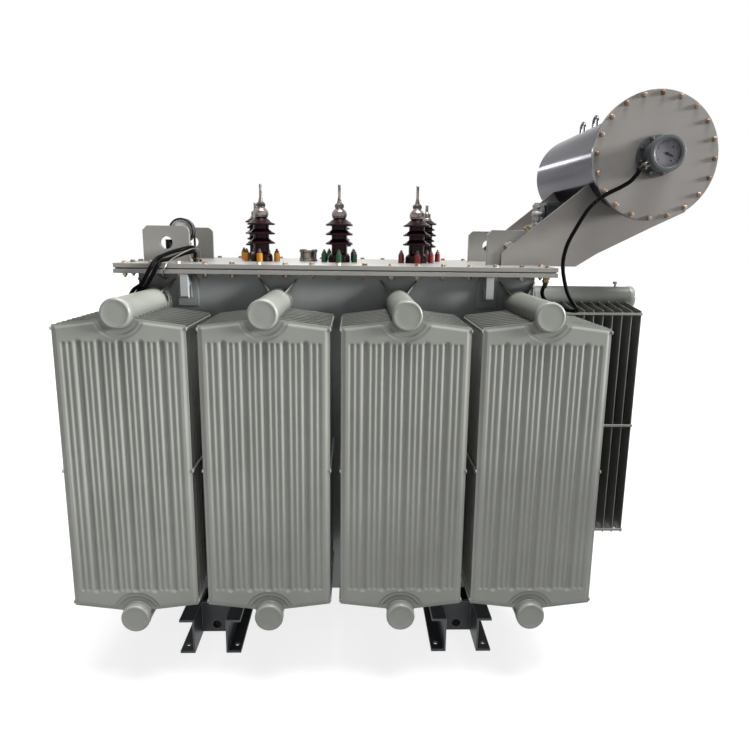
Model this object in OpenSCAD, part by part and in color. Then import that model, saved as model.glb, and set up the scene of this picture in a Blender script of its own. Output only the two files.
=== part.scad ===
// Oil-filled power transformer with welded-on pressed-panel radiators.
// Millimetres, +Z up, ground at z = 0, tank centred on x = y = 0, front towards -Y.

/* [Base skids] */
// distance between the centre lines of the two skids
skid_gauge = 1110; // [900:5:1300]
// length of each skid, front to back
skid_length = 1314; // [1000:2:1600]
// height of the channel section
channel_height = 160; // [120:1:220]
// flange width of the channel section
channel_width = 65; // [50:1:90]
// web thickness of the channel section
channel_web = 8; // [6:0.5:14]
// flange thickness of the channel section
channel_flange = 10; // [7:0.5:16]
// clear gap between the two webs of a skid
web_gap = 136; // [100:1:180]
// distance from a skid end to its pull plate
pull_plate_inset = 152; // [80:1:240]
// thickness of a pull plate
pull_plate_thickness = 14; // [8:1:25]
// height of a pull plate's lower edge above the ground
pull_plate_lift = 12; // [5:1:40]
// diameter of the pull hole
pull_hole = 40; // [25:1:55]
// height of the pull hole above the ground
pull_hole_height = 48; // [42:1:80]
// diameter of an anchor hole in a bottom flange
anchor_hole = 20; // [14:0.5:28]
// distance of an anchor hole from the skid end
anchor_inset = 49; // [30:1:90]

/* [Tank] */
// outside length of the tank, along X
tank_length = 1710; // [1500:2:1900]
// outside width of the tank, along Y
tank_width = 780; // [700:2:900]
// height of the top of the tank flange above the ground
tank_top = 1667; // [1660:1:1680]
// thickness of the tank wall
tank_wall = 8; // [5:0.5:14]
// thickness of the tank floor
floor_thickness = 10; // [6:0.5:20]
// how far the flange stands out from the wall
flange_overhang = 81; // [60:1:110]
// thickness of the tank flange
flange_thickness = 18; // [12:0.5:26]
// thickness of the gasket under the cover
gasket_thickness = 5; // [3:0.5:8]
// how far the gasket sits back from the flange edge
gasket_inset = 6; // [2:0.5:12]
// length of a cable gland on the tank
gland_length = 22; // [14:1:30]
// radius of a cable gland
gland_radius = 12; // [10:0.5:16]
// thickness of the cover plate
cover_thickness = 18; // [12:0.5:26]

/* [Radiators] */
// spacing of the radiators along the tank
radiator_pitch = 521; // [505:1:560]
// number of pressed panels in a radiator
panel_count = 10; // [6:1:12]
// spacing of the panels
panel_pitch = 45; // [40:0.5:50]
// width of a panel
panel_width = 480; // [440:1:490]
// thickness of a panel across its pressed body
panel_thickness = 12; // [8:0.5:16]
// thickness of a panel's flat welded rim
rim_thickness = 3; // [2:0.5:5]
// width of the flat welded rim
rim_width = 18; // [10:0.5:26]
// height of a panel's upper side corners
panel_top = 1487; // [1450:1:1500]
// height of a panel's lower side corners
panel_bottom = 375; // [340:1:420]
// rise of a panel's peak over its side corners
panel_gable = 30; // [15:1:45]
// distance of a front radiator's outermost panel from the tank wall
panel_reach = 493; // [470:1:540]
// outside diameter of a header pipe
header_diameter = 108; // [90:1:120]
// outside diameter of a header cap
cap_diameter = 112; // [94:1:126]
// length of a header cap
cap_length = 30; // [20:1:40]
// how far a header cap stands out in front of the outermost panel
cap_proud = 35; // [32:1:60]
// height of the lower header pipes
header_low = 331; // [300:1:360]
// height of the upper header pipes
header_high = 1531; // [1500:1:1550]
// length of the pipe stub on the tank wall
stub_length = 40; // [25:1:55]
// distance of the end radiator's outermost panel from the tank end
end_panel_reach = 559; // [540:1:600]
// how far the end radiator's caps stand out
end_cap_proud = 50; // [32:1:70]
// width of a tie strip, across its panel edges
tie_width = 7; // [5:0.5:10]
// height of a tie strip
tie_height = 12; // [8:0.5:20]
// diameter of the vent plug on the end radiator
vent_diameter = 26; // [16:1:34]
// height of the vent plug
vent_height = 24; // [14:1:40]
// height of the lifting tab on the end radiator
tab_height = 66; // [40:1:90]
// width of the lifting tab
tab_width = 40; // [24:1:60]
// distance of the lifting tab from the end radiator's joint
tab_inset = 68; // [50:1:90]
// thickness of the lifting tab
tab_thickness = 8; // [5:0.5:12]
// angle of a stub's ribs from upright
rib_angle = 40; // [30:1:55]
// reach of a rib over the tank wall, from the pipe
rib_reach = 70; // [40:1:74]
// length of a rib along the pipe
rib_length = 64; // [40:1:80]
// thickness of a rib
rib_thickness = 6; // [4:0.5:10]
// number of fine flutes between two wide flutes
fine_flutes = 2; // [1:1:3]
// spacing of the flutes
flute_pitch = 25; // [22:0.25:26]
// number of flutes to each side of the middle one
flutes_each_side = 8; // [4:1:8]
// width of a wide flute
wide_flute = 25; // [18:0.5:26]
// depth of a wide flute
wide_flute_depth = 5.5; // [3:0.25:6]
// width of a fine flute
fine_flute = 14; // [8:0.5:16]
// depth of a fine flute
fine_flute_depth = 4; // [2:0.25:5]
// distance of the flutes from a panel's side corners
flute_margin = 62; // [50:1:90]
// radius of the pressed ring round a header
ring_radius = 96; // [80:1:104]
// depth of the pressed ring
ring_depth = 3; // [1.5:0.25:4]

/* [Lifting] */
// width of a cover lug
lug_width = 204; // [160:1:240]
// height of a cover lug
lug_height = 158; // [130:1:190]
// thickness of a cover lug
lug_thickness = 20; // [14:1:28]
// distance of a lug's outer edge from the cover's end
lug_inset = 63; // [40:1:90]
// distance of a lug's middle plane from the tank centre, along Y
lug_offset = 247; // [225:1:270]
// diameter of the lug's shackle hole
lug_hole = 56; // [40:1:70]
// height of the shackle hole above the cover
lug_hole_height = 84; // [70:1:100]
// radius of a lug's rounded corner
lug_corner = 28; // [10:1:40]
// size of a lug's bevelled corner
lug_bevel = 20; // [8:1:30]
// distance of a lifting hook from the tank's end
hook_inset = 208; // [160:1:250]
// thickness of a lifting hook
hook_thickness = 32; // [20:1:45]
// depth of a lifting hook out from the wall
hook_depth = 78; // [70:1:100]
// height of a lifting hook
hook_height = 102; // [80:1:140]
// size of the bevel on a hook's lower corner
hook_bevel = 8; // [4:0.5:12]
// width of the pad behind a hook
hook_pad = 86; // [60:1:110]
// height of the pad
hook_pad_height = 140; // [120:1:170]
// thickness of the pad
hook_pad_thickness = 8; // [5:0.5:12]
// size of the bevel on the pad's upper corners
hook_pad_bevel = 22; // [10:1:25]
// width of the notch in a hook
hook_notch = 34; // [20:1:40]
// height of the notch in a hook
hook_notch_height = 56; // [30:1:70]

/* [Bushings] */
// spacing of the high-voltage bushings
hv_pitch = 371; // [300:1:400]
// position of the high-voltage row's middle along X
hv_shift = -5; // [-20:1:20]
// position of the high-voltage row along Y
hv_row = -55; // [-90:1:-20]
// radius of a high-voltage shed
hv_shed = 66; // [55:0.5:75]
// height of the lowest high-voltage shed
hv_shed_start = 88; // [84:1:92]
// spacing of the high-voltage sheds
hv_shed_pitch = 43.5; // [40:0.5:44]
// radius of the high-voltage porcelain body
hv_body = 37; // [30:0.5:44]
// height of the high-voltage porcelain
hv_porcelain_height = 199; // [198:1:220]
// total height of a high-voltage bushing
hv_height = 361; // [330:1:400]
// radius of a terminal stud
stud_radius = 6.5; // [4:0.25:10]
// spacing of the low-voltage bushings
lv_pitch = 438; // [380:1:480]
// position of the low-voltage row along Y
lv_row = 185; // [160:1:210]
// radius of a low-voltage shed
lv_shed = 52; // [46:0.5:56]
// height of the lowest low-voltage shed
lv_shed_start = 77; // [70:1:78]
// spacing of the low-voltage sheds
lv_shed_pitch = 28.25; // [26:0.25:28.5]
// radius of the low-voltage porcelain body
lv_body = 31; // [24:0.5:36]
// height of the low-voltage porcelain
lv_porcelain_height = 206; // [200:1:230]
// total height of a low-voltage bushing
lv_height = 285; // [260:1:320]
// how much smaller every second low-voltage shed is
lv_shed_step = 8; // [0:0.5:12]
// slope of a shed's upper side
shed_slope = 0.72; // [0.5:0.01:0.75]
// radius of a clamp pot
pot_radius = 14; // [10:0.5:18]
// height of a clamp pot
pot_height = 40; // [30:1:55]
// distance of a high-voltage clamp pot from the bushing axis
hv_pot_offset = 72; // [70:0.5:84]
// distance of a low-voltage clamp pot from the bushing axis
lv_pot_offset = 62; // [60:0.5:70]

/* [Cover fittings] */
// diameter of the tap changer head
tap_diameter = 88; // [70:1:110]
// height of the tap changer head
tap_height = 58; // [40:1:80]
// position of the tap changer head along X
tap_x = -160; // [-190:1:-130]
// position of the tap changer head along Y
tap_y = 50; // [30:1:80]
// diameter of the dial thermometer case
thermo_diameter = 110; // [104:1:120]
// depth of the thermometer case
thermo_depth = 46; // [30:1:60]
// height of the thermometer's middle above the cover
thermo_height = 138; // [125:1:150]
// distance of the thermometer from the tank's left end
thermo_inset = 141; // [100:1:165]
// distance of the thermometer's stem from its middle
stem_offset = 51; // [40:1:52]
// radius of the thermometer's stem
stem_radius = 5; // [3:0.5:8]
// distance of the thermometer pocket from the thermometer's middle
pocket_offset = 60; // [58:1:75]
// radius of the thermometer pocket
pocket_radius = 16; // [10:0.5:18]
// height of the thermometer pocket
pocket_height = 98; // [80:1:99]
// position of the thermometer's front along Y
thermo_front = -212; // [-225:1:-190]

/* [Conservator] */
// distance of the conservator axis from the tank's end
cons_reach = 444; // [400:1:490]
// height of the conservator axis
cons_z = 2148; // [2110:1:2200]
// outside radius of the conservator shell
cons_radius = 212; // [195:1:235]
// thickness of the conservator shell
cons_wall = 5; // [3:0.5:10]
// radius of the conservator's bolted end plate
plate_radius = 259; // [245:1:290]
// thickness of the bolted end plate
plate_thickness = 14; // [8:0.5:20]
// position of the end plate's front face along Y
cons_front = -492; // [-540:1:-450]
// position of the conservator's back along Y
cons_back = 522; // [480:1:560]
// thickness of the conservator brackets
bracket_thickness = 10; // [6:0.5:16]
// distance of a bracket's left edge from the tank's end
bracket_inset = 122; // [95:1:145]
// height of a bracket's left edge
bracket_step = 57; // [45:1:80]
// how far a bracket reaches past the conservator axis
bracket_past = 258; // [240:1:275]
// radius of the oil pipe
oil_pipe_radius = 18; // [12:0.5:20]
// distance of the oil pipe's foot from the tank's end
oil_pipe_inset = 70; // [45:1:95]
// height of the oil pipe's upright foot
oil_pipe_riser = 50; // [40:1:80]
// run of the oil pipe's slope along X
oil_pipe_run = 168; // [150:1:185]
// radius of the ring flange on the slope
oil_ring_radius = 33; // [26:0.5:40]
// height of the upright, from the slope to the tee
oil_pipe_rise = 52; // [44:1:62]
// height of the white drain valve over the tee
valve_height = 54; // [36:1:66]
// radius of the drain valve's union nuts
valve_radius = 20; // [15:0.5:24]
// distance of the relay's left side from the tee
relay_gap = 26; // [24:1:40]
// length of the relay body
relay_length = 112; // [90:1:120]
// width of the relay body
relay_width = 104; // [80:1:130]
// height of the relay body
relay_height = 128; // [100:1:132]
// height of the relay's pipe axis
relay_axis = 1930; // [1915:1:1945]
// radius of the relay's pipe flanges
relay_flange = 42; // [30:1:50]
// length of the pipe from the relay to the conservator's feed
feed_run = 69; // [50:1:90]
// diameter of the bar of the conservator's lifting loops
loop_bar = 14; // [10:0.5:18]
// distance between the legs of a lifting loop
loop_span = 62; // [45:1:80]
// height of a lifting loop over the shell
loop_height = 76; // [60:1:90]
// radius of the level gauge's bezel
bezel_radius = 71; // [60:1:80]
// how far the level gauge stands out
gauge_proud = 105; // [85:1:125]

/* [Hidden] */
$fn = 64;
cover_top = tank_top + gasket_thickness + cover_thickness;
flange_bottom = tank_top - flange_thickness;
half_l = tank_length / 2;
half_w = tank_width / 2;
cover_l = tank_length + 2 * flange_overhang;
cover_w = tank_width + 2 * flange_overhang;
header_r = header_diameter / 2;
plane_out = half_w + panel_reach;
web_x = web_gap / 2;
bracket_y = lug_offset + lug_thickness / 2;
cons_x = half_l + cons_reach;
lug_outer = cover_l / 2 - lug_inset;
hook_offset = half_l - hook_inset;
thermo_x = -half_l + thermo_inset;
bracket_left = half_l - bracket_inset;
oil_pipe_foot = half_l - oil_pipe_inset;
oil_pipe_tee = oil_pipe_foot + oil_pipe_run;
relay_left = oil_pipe_tee + relay_gap;
relay_right = relay_left + relay_length;
feed_x = relay_right + feed_run;
// length of the stub that feeds the end radiator
end_stub = stub_length + end_panel_reach - panel_reach;
// radius of the black cables
cable_r = 8.5;
// radius of the thermometer's capillary tube
wire_r = 3;
// position of the gauge's cable gland along Y
gauge_gland_y = -540;
// route of the gauge cable, from the gauge's gland to the gland under the flange
gauge_route = [[1229, -540, 2101], [1219, -541, 2094], [1205, -541, 2070], [1183, -535, 2043],
  [1149, -522, 2020], [1113, -512, 2001], [1077, -507, 1978], [1040, -497, 1941], [1015, -490, 1900],
  [990, -482, 1849], [967, -474, 1796], [955, -468, 1738], [956, -464, 1688], [969, -463, 1628],
  [988, -466, 1575], [1011, -467, 1540], [1033, -456, 1518], [1041, -432, 1506], [1020, -408, 1504],
  [981, -398, 1516], [938, -400, 1530], [906, -408, 1549], [888, -418, 1574], [886, -426, 1598],
  [893, -430, 1615], [895, -430, 1627]];
// route of the thermometer's cable, from its case to the left gland on the tank wall
thermo_route = [[-690, -189, 1765], [-689, -190, 1757], [-681, -196, 1750], [-668, -208, 1748], [-656, -224, 1750],
  [-651, -244, 1753], [-654, -266, 1755], [-664, -290, 1754], [-677, -314, 1750], [-700, -345, 1742],
  [-714, -375, 1736], [-728, -405, 1729], [-740, -435, 1721], [-751, -460, 1713], [-761, -482, 1699],
  [-769, -496, 1681], [-780, -503, 1661], [-791, -506, 1640], [-812, -508, 1606], [-844, -504, 1584],
  [-866, -490, 1554], [-873, -474, 1524], [-866, -458, 1494], [-850, -456, 1462], [-837, -452, 1432],
  [-830, -440, 1408], [-828, -424, 1397], [-828, -412, 1394]];
// route of the sensor cable, from the cover's gland to the right gland on the tank wall
sensor_route = [[-655, -208, 1710], [-654, -213, 1722], [-653, -226, 1731], [-654, -246, 1735], [-661, -272, 1735],
  [-673, -300, 1731], [-686, -330, 1725], [-699, -358, 1718], [-711, -388, 1711], [-722, -420, 1706],
  [-733, -450, 1703], [-739, -470, 1700], [-744, -484, 1690], [-752, -492, 1672], [-763, -498, 1650],
  [-775, -502, 1628], [-795, -503, 1596], [-826, -500, 1578], [-846, -488, 1551], [-851, -472, 1524],
  [-844, -456, 1496], [-827, -456, 1466], [-813, -452, 1436], [-804, -440, 1410], [-801, -424, 1397],
  [-801, -412, 1394]];
// route of the capillary tube, from the cover to the tank wall under the flange
wire_route = [[-634, -205, 1700], [-634, -208, 1716], [-633, -222, 1734], [-635, -246, 1746], [-642, -275, 1750],
  [-656, -312, 1745], [-676, -352, 1732], [-692, -395, 1718], [-704, -440, 1703], [-712, -478, 1688],
  [-720, -489, 1668], [-730, -478, 1646], [-738, -445, 1630], [-742, -402, 1624], [-742, -390, 1624]];
gauge_end = gauge_route[len(gauge_route) - 1];
thermo_end = thermo_route[len(thermo_route) - 1];
sensor_end = sensor_route[len(sensor_route) - 1];
// distance of the thermometer's cable gland from its middle
thermo_lead_offset = 24;
floor_top = channel_height + floor_thickness;
// radius of the oil pipe's ball elbows
elbow_radius = oil_pipe_radius * 1.2;
thermo_z = cover_top + thermo_height;

// a flat shape in X and Z, given thickness along Y from y0
module along_y(y0, t) {
  translate([0, y0 + t, 0]) rotate([90, 0, 0]) linear_extrude(height = t) children();
}

// a flat shape in Y and Z, given thickness along X from x0
module along_x(x0, t) {
  translate([x0, 0, 0]) rotate([90, 0, 90]) linear_extrude(height = t) children();
}

// a box from its low corner to its high corner
module span(a, b) {
  translate(a) cube(b - a);
}

// a round bar along +Y
module rod_y(x, y0, z, r, l) {
  translate([x, y0, z]) rotate([-90, 0, 0]) cylinder(r = r, h = l);
}

// one channel of a skid, its web towards the skid's middle
module channel(side) {
  mirror([side < 0 ? 1 : 0, 0, 0])
    along_y(-skid_length / 2, skid_length)
      polygon([[web_x, 0], [web_x + channel_width, 0], [web_x + channel_width, channel_flange],
        [web_x + channel_web, channel_flange], [web_x + channel_web, channel_height - channel_flange],
        [web_x + channel_width, channel_height - channel_flange],
        [web_x + channel_width, channel_height], [web_x, channel_height]]);
}

module skid(side) {
  translate([side * skid_gauge / 2, 0, 0]) difference() {
    union() {
      channel(-1);
      channel(1);
      for (s = [-1, 1])
        translate([0, s * (skid_length / 2 - pull_plate_inset), 0])
          span([-web_x - 1, -pull_plate_thickness / 2, pull_plate_lift],
            [web_x + 1, pull_plate_thickness / 2, channel_height]);
    }
    for (s = [-1, 1]) {
      rod_y(0, s * (skid_length / 2 - pull_plate_inset) - pull_plate_thickness, pull_hole_height,
        pull_hole / 2, 2 * pull_plate_thickness);
      for (a = [-1, 1])
        translate([a * (web_x + 0.62 * channel_width), s * (skid_length / 2 - anchor_inset), -1])
          cylinder(r = anchor_hole / 2, h = channel_flange + 2);
    }
  }
}

module skid_left() {
  color([0.16, 0.17, 0.18]) skid(-1);
}

module skid_right() {
  color([0.16, 0.17, 0.18]) skid(1);
}

module tank_floor() {
  color([0.42, 0.44, 0.45])
    span([-half_l, -half_w, channel_height], [half_l, half_w, floor_top]);
}

// a long side wall of the tank, from y0
module long_wall(y0) {
  color([0.45, 0.48, 0.50])
    span([-half_l, y0, floor_top], [half_l, y0 + tank_wall, tank_top]);
}

// an end wall of the tank, from x0, between the long walls
module end_wall(x0) {
  color([0.45, 0.48, 0.50])
    span([x0, -half_w + tank_wall, floor_top], [x0 + tank_wall, half_w - tank_wall, tank_top]);
}

module tank_front_wall() { long_wall(-half_w); }
module tank_rear_wall() { long_wall(half_w - tank_wall); }
module tank_left_wall() { end_wall(-half_l); }
module tank_right_wall() { end_wall(half_l - tank_wall); }

module tank_flange() {
  color([0.45, 0.48, 0.50])
    difference() {
      span([-cover_l / 2, -cover_w / 2, flange_bottom], [cover_l / 2, cover_w / 2, tank_top]);
      span([-half_l, -half_w, flange_bottom - 1], [half_l, half_w, tank_top + 1]);
    }
}

// places its children at each stub of the front and rear walls
module at_side_stubs() {
  for (i = [0 : 3], s = [0, 180])
    translate([(i - 1.5) * radiator_pitch, 0, 0]) rotate([0, 0, s]) children();
}

// a pipe stub out along +Y from u0
module stub(z, u0, l) {
  rod_y(0, u0, z, header_r, l);
}

module pipe_stubs() {
  color([0.55, 0.56, 0.55])
    for (z = [header_low, header_high]) {
      at_side_stubs() stub(z, half_w, stub_length);
      rotate([0, 0, -90]) stub(z, half_l, end_stub);
    }
}

// the two triangular ribs between an upper pipe and the wall at u0
module ribs(u0) {
  for (a = [-rib_angle, rib_angle])
    translate([0, u0, header_high]) rotate([0, a, 0])
      along_x(-rib_thickness / 2, rib_thickness)
        polygon([[0, header_r + 0.2], [0, header_r + rib_reach], [rib_length, header_r + 0.2]]);
}

module stub_ribs() {
  color([0.55, 0.56, 0.55]) {
    at_side_stubs() ribs(half_w);
    rotate([0, 0, -90]) ribs(half_l);
  }
}

module cover_gasket() {
  color([0.09, 0.09, 0.09])
    difference() {
      span([-cover_l / 2 + gasket_inset, -cover_w / 2 + gasket_inset, tank_top],
        [cover_l / 2 - gasket_inset, cover_w / 2 - gasket_inset, tank_top + gasket_thickness]);
      span([-half_l, -half_w, tank_top - 1], [half_l, half_w, tank_top + gasket_thickness + 1]);
    }
}

module tank_cover() {
  color([0.58, 0.58, 0.56])
    span([-cover_l / 2, -cover_w / 2, tank_top + gasket_thickness],
      [cover_l / 2, cover_w / 2, cover_top]);
}

// outline of a panel, drawn in by m all round
module panel_outline(m) {
  w = panel_width / 2 - m;
  polygon([[-w, panel_bottom + m], [0, panel_bottom - panel_gable + m], [w, panel_bottom + m],
    [w, panel_top - m], [0, panel_top + panel_gable - m], [-w, panel_top - m]]);
}

// one pressed panel with its middle plane at u
module panel(u) {
  along_y(u - rim_thickness / 2, rim_thickness) panel_outline(0);
  along_y(u - panel_thickness / 2, panel_thickness) panel_outline(rim_width);
}

// radius of the round bar that cuts a flute of width w and depth d
function flute_r(w, d) = (w * w / 4 + d * d) / (2 * d);

// one flute, round at both ends, cut into the face at u
module flute(x, u, w, d, z0, z1) {
  r = flute_r(w, d);
  translate([x, u + r - d, z0]) {
    cylinder(r = r, h = z1 - z0);
    sphere(r = r);
    translate([0, 0, z1 - z0]) sphere(r = r);
  }
}

// the outermost panel, pressed with wide and fine flutes and a ring round each header
module fluted_panel(u) {
  face = u + panel_thickness / 2;
  difference() {
    panel(u);
    for (k = [-flutes_each_side : flutes_each_side])
      if (k % (fine_flutes + 1) == 0)
        flute(k * flute_pitch, face, wide_flute, wide_flute_depth,
          panel_bottom + flute_margin, panel_top - flute_margin);
      else
        flute(k * flute_pitch, face, fine_flute, fine_flute_depth,
          panel_bottom + flute_margin, panel_top - flute_margin - 4);
    for (z = [header_low, header_high])
      rod_y(0, face - ring_depth, z, ring_radius, ring_depth + 1);
  }
}

// a header pipe with its end cap, along +Y
module header(z, u0, u1) {
  rod_y(0, u0, z, header_r, u1 - u0 - 1);
  translate([0, u1, z]) rotate([90, 0, 0])
    rotate_extrude()
      polygon([[0, 0], [cap_diameter / 2 - 8, 0], [cap_diameter / 2 - 3, 2],
        [cap_diameter / 2, 7], [cap_diameter / 2, cap_length], [0, cap_length]]);
}

// a whole radiator reaching along +Y from the stub's end at u0 to the outermost panel at u1
module radiator(u0, u1, proud) {
  u_in = u1 - (panel_count - 1) * panel_pitch;
  for (k = [0 : panel_count - 2]) panel(u_in + k * panel_pitch);
  fluted_panel(u1);
  for (z = [header_low, header_high]) header(z, u0, u1 + proud);
  for (s = [-1, 1], z = [panel_bottom + 14, (panel_bottom + panel_top) / 2, panel_top - 14])
    translate([s * (panel_width / 2 + 1.5) - tie_width / 2, u_in - 6, z - tie_height / 2])
      cube([tie_width, u1 - u_in + 12, tie_height]);
}

module side_radiator(i, turn) {
  color([0.60, 0.60, 0.57])
    translate([(i - 1.5) * radiator_pitch, 0, 0]) rotate([0, 0, turn])
      radiator(half_w + stub_length, plane_out, cap_proud);
}

module radiator_front_1() { side_radiator(0, 180); }
module radiator_front_2() { side_radiator(1, 180); }
module radiator_front_3() { side_radiator(2, 180); }
module radiator_front_4() { side_radiator(3, 180); }
module radiator_rear_1() { side_radiator(0, 0); }
module radiator_rear_2() { side_radiator(1, 0); }
module radiator_rear_3() { side_radiator(2, 0); }
module radiator_rear_4() { side_radiator(3, 0); }

module radiator_end() {
  color([0.60, 0.60, 0.57]) {
    rotate([0, 0, -90])
      radiator(half_l + end_stub, half_l + end_panel_reach, end_cap_proud);
    translate([half_l + end_stub + tab_inset, 0, header_high])
      span([0, -tab_width / 2, header_r - 6], [tab_thickness, tab_width / 2, header_r + tab_height]);
  }
}

module vent_plug() {
  color([0.45, 0.42, 0.36])
    translate([half_l + end_panel_reach - 40, 0, header_high]) difference() {
      union() {
        cylinder(r = vent_diameter / 4, h = header_r + vent_height - 4);
        translate([0, 0, header_r + vent_height / 2])
          cylinder(r = vent_diameter / 2, h = vent_height / 2);
      }
      translate([-header_diameter, 0, 0]) rotate([0, 90, 0])
        cylinder(r = header_r, h = 2 * header_diameter);
    }
}

// one lifting hook on the front wall, its notch open downwards
module hook() {
  notch_y = -half_w - (hook_depth - hook_bevel) / 2;
  hook_bottom = flange_bottom - hook_height;
  along_x(-hook_thickness / 2, hook_thickness)
    difference() {
      polygon([[-half_w, flange_bottom], [-half_w - hook_depth, flange_bottom],
        [-half_w - hook_depth, hook_bottom + hook_bevel],
        [-half_w - hook_depth + hook_bevel, hook_bottom], [-half_w, hook_bottom]]);
      translate([notch_y - hook_notch / 2, hook_bottom - 1])
        square([hook_notch, hook_notch_height - hook_notch / 2 + 1]);
      translate([notch_y, hook_bottom + hook_notch_height - hook_notch / 2])
        circle(r = hook_notch / 2);
    }
}

// the pad between a hook and the front wall
module hook_base() {
  w = hook_pad / 2;
  along_y(-half_w - hook_pad_thickness, hook_pad_thickness)
    polygon([[-w, flange_bottom - hook_pad_height], [w, flange_bottom - hook_pad_height],
      [w, flange_bottom - 1.5 * hook_pad_bevel], [w - hook_pad_bevel, flange_bottom],
      [hook_pad_bevel - w, flange_bottom], [-w, flange_bottom - 1.5 * hook_pad_bevel]]);
}

module hook_pair() {
  color([0.62, 0.62, 0.59])
    for (s = [-1, 1]) translate([s * hook_offset, 0, 0]) {
      hook();
      hook_base();
    }
}

module hooks_front() { hook_pair(); }
module hooks_rear() { rotate([0, 0, 180]) hook_pair(); }

// a lifting lug on the cover, sx and sy giving its corner
module lug(sx, sy) {
  x0 = sx < 0 ? -lug_outer : lug_outer - lug_width;
  color([0.58, 0.58, 0.56])
    along_y(sy * lug_offset - lug_thickness / 2, lug_thickness)
      difference() {
        translate([x0, cover_top]) union() {
          polygon([[0, 0], [lug_width, 0], [lug_width, lug_height - lug_corner],
            [lug_width - lug_corner, lug_height], [lug_bevel, lug_height], [0, lug_height - lug_bevel]]);
          translate([lug_width - lug_corner, lug_height - lug_corner]) circle(r = lug_corner);
        }
        translate([x0 + lug_width / 2, cover_top + lug_hole_height]) circle(r = lug_hole / 2);
      }
}

module lug_front_left() { lug(-1, -1); }
module lug_rear_left() { lug(-1, 1); }
module lug_front_right() { lug(1, -1); }
module lug_rear_right() { lug(1, 1); }

// half outline of one porcelain shed of radius r on a body of radius b, its tip at height z
function shed(r, b, z) = [[b, z - 5], [r - 8, z - 6], [r - 3, z - 5], [r, z - 1], [r - 2, z + 3],
  [b + (r - b) * 0.45, z + (r - b) * shed_slope * 0.52], [b, z + (r - b) * shed_slope]];

// outline points of n sheds up a porcelain body, every second one smaller by less
function sheds(r, b, start, pitch, n, less) =
  [for (k = [0 : n - 1], q = shed(r - less * (k % 2), b, start + k * pitch)) q];

module hv_porcelain() {
  color([0.12, 0.05, 0.04])
    for (i = [-1 : 1])
      translate([hv_shift + i * hv_pitch, hv_row, cover_top])
        rotate_extrude()
          polygon(concat([[0, 0], [52, 0], [52, 26], [48, 34], [hv_body, 44]],
            sheds(hv_shed, hv_body, hv_shed_start, hv_shed_pitch, 3, 0),
            [[hv_body - 3, hv_porcelain_height], [0, hv_porcelain_height]]));
}

module hv_terminals() {
  color([0.72, 0.72, 0.70])
    for (i = [-1 : 1])
      translate([hv_shift + i * hv_pitch, hv_row, cover_top])
        rotate_extrude()
          polygon([[0, hv_porcelain_height], [hv_body - 10, hv_porcelain_height],
            [hv_body - 4, hv_porcelain_height + 8], [hv_body - 1, hv_porcelain_height + 18],
            [hv_body - 1, hv_porcelain_height + 26], [hv_body - 4, hv_porcelain_height + 36],
            [hv_body - 10, hv_porcelain_height + 44], [20, hv_porcelain_height + 50],
            [19, hv_porcelain_height + 52], [19, hv_porcelain_height + 74],
            [12, hv_porcelain_height + 77], [stud_radius, hv_porcelain_height + 102],
            [stud_radius, hv_height - 3], [stud_radius - 2, hv_height], [0, hv_height]]);
}

module lv_porcelain() {
  color([0.12, 0.05, 0.04])
    for (i = [-1 : 1])
      translate([i * lv_pitch, lv_row, cover_top])
        rotate_extrude()
          polygon(concat([[0, 0], [43, 0], [43, 24], [40, 32], [lv_body, 40]],
            sheds(lv_shed, lv_body, lv_shed_start, lv_shed_pitch, 5, lv_shed_step),
            [[lv_body - 2, lv_porcelain_height], [0, lv_porcelain_height]]));
}

module lv_terminals() {
  color([0.55, 0.50, 0.42])
    for (i = [-1 : 1])
      translate([i * lv_pitch, lv_row, cover_top])
        rotate_extrude()
          polygon([[0, lv_porcelain_height], [lv_body - 4, lv_porcelain_height],
            [lv_body - 7, lv_porcelain_height + 9], [20, lv_porcelain_height + 13],
            [20, lv_porcelain_height + 33], [12, lv_porcelain_height + 37],
            [stud_radius + 1, lv_porcelain_height + 44],
            [stud_radius + 1, lv_height - 3], [stud_radius - 1, lv_height], [0, lv_height]]);
}

// the four clamp pots round a bushing foot
module pots(x, y, r) {
  for (a = [0 : 90 : 270])
    translate([x + r * cos(a), y + r * sin(a), cover_top])
      cylinder(r = pot_radius, h = pot_height);
}

module clamps(i) {
  pots(hv_shift + i * hv_pitch, hv_row, hv_pot_offset);
  pots(i * lv_pitch, lv_row, lv_pot_offset);
}

module clamps_yellow() { color([0.85, 0.50, 0.05]) clamps(-1); }
module clamps_green() { color([0.03, 0.28, 0.16]) clamps(0); }
module clamps_red() { color([0.40, 0.06, 0.10]) clamps(1); }

// the tap changer's turned head: a foot ring, a knurled drum and a cap
module tap_changer_head() {
  color([0.55, 0.52, 0.47])
    translate([tap_x, tap_y, cover_top])
      rotate_extrude()
        polygon([[0, 0], [tap_diameter / 2, 0], [tap_diameter / 2, 9], [tap_diameter / 2 - 4, 11],
          [tap_diameter / 2 - 4, tap_height - 17], [tap_diameter / 2, tap_height - 14],
          [tap_diameter / 2, tap_height - 3], [tap_diameter / 2 - 3, tap_height],
          [tap_diameter / 2 - 9, tap_height], [tap_diameter / 2 - 10, tap_height - 3],
          [0, tap_height - 3]]);
}

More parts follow.
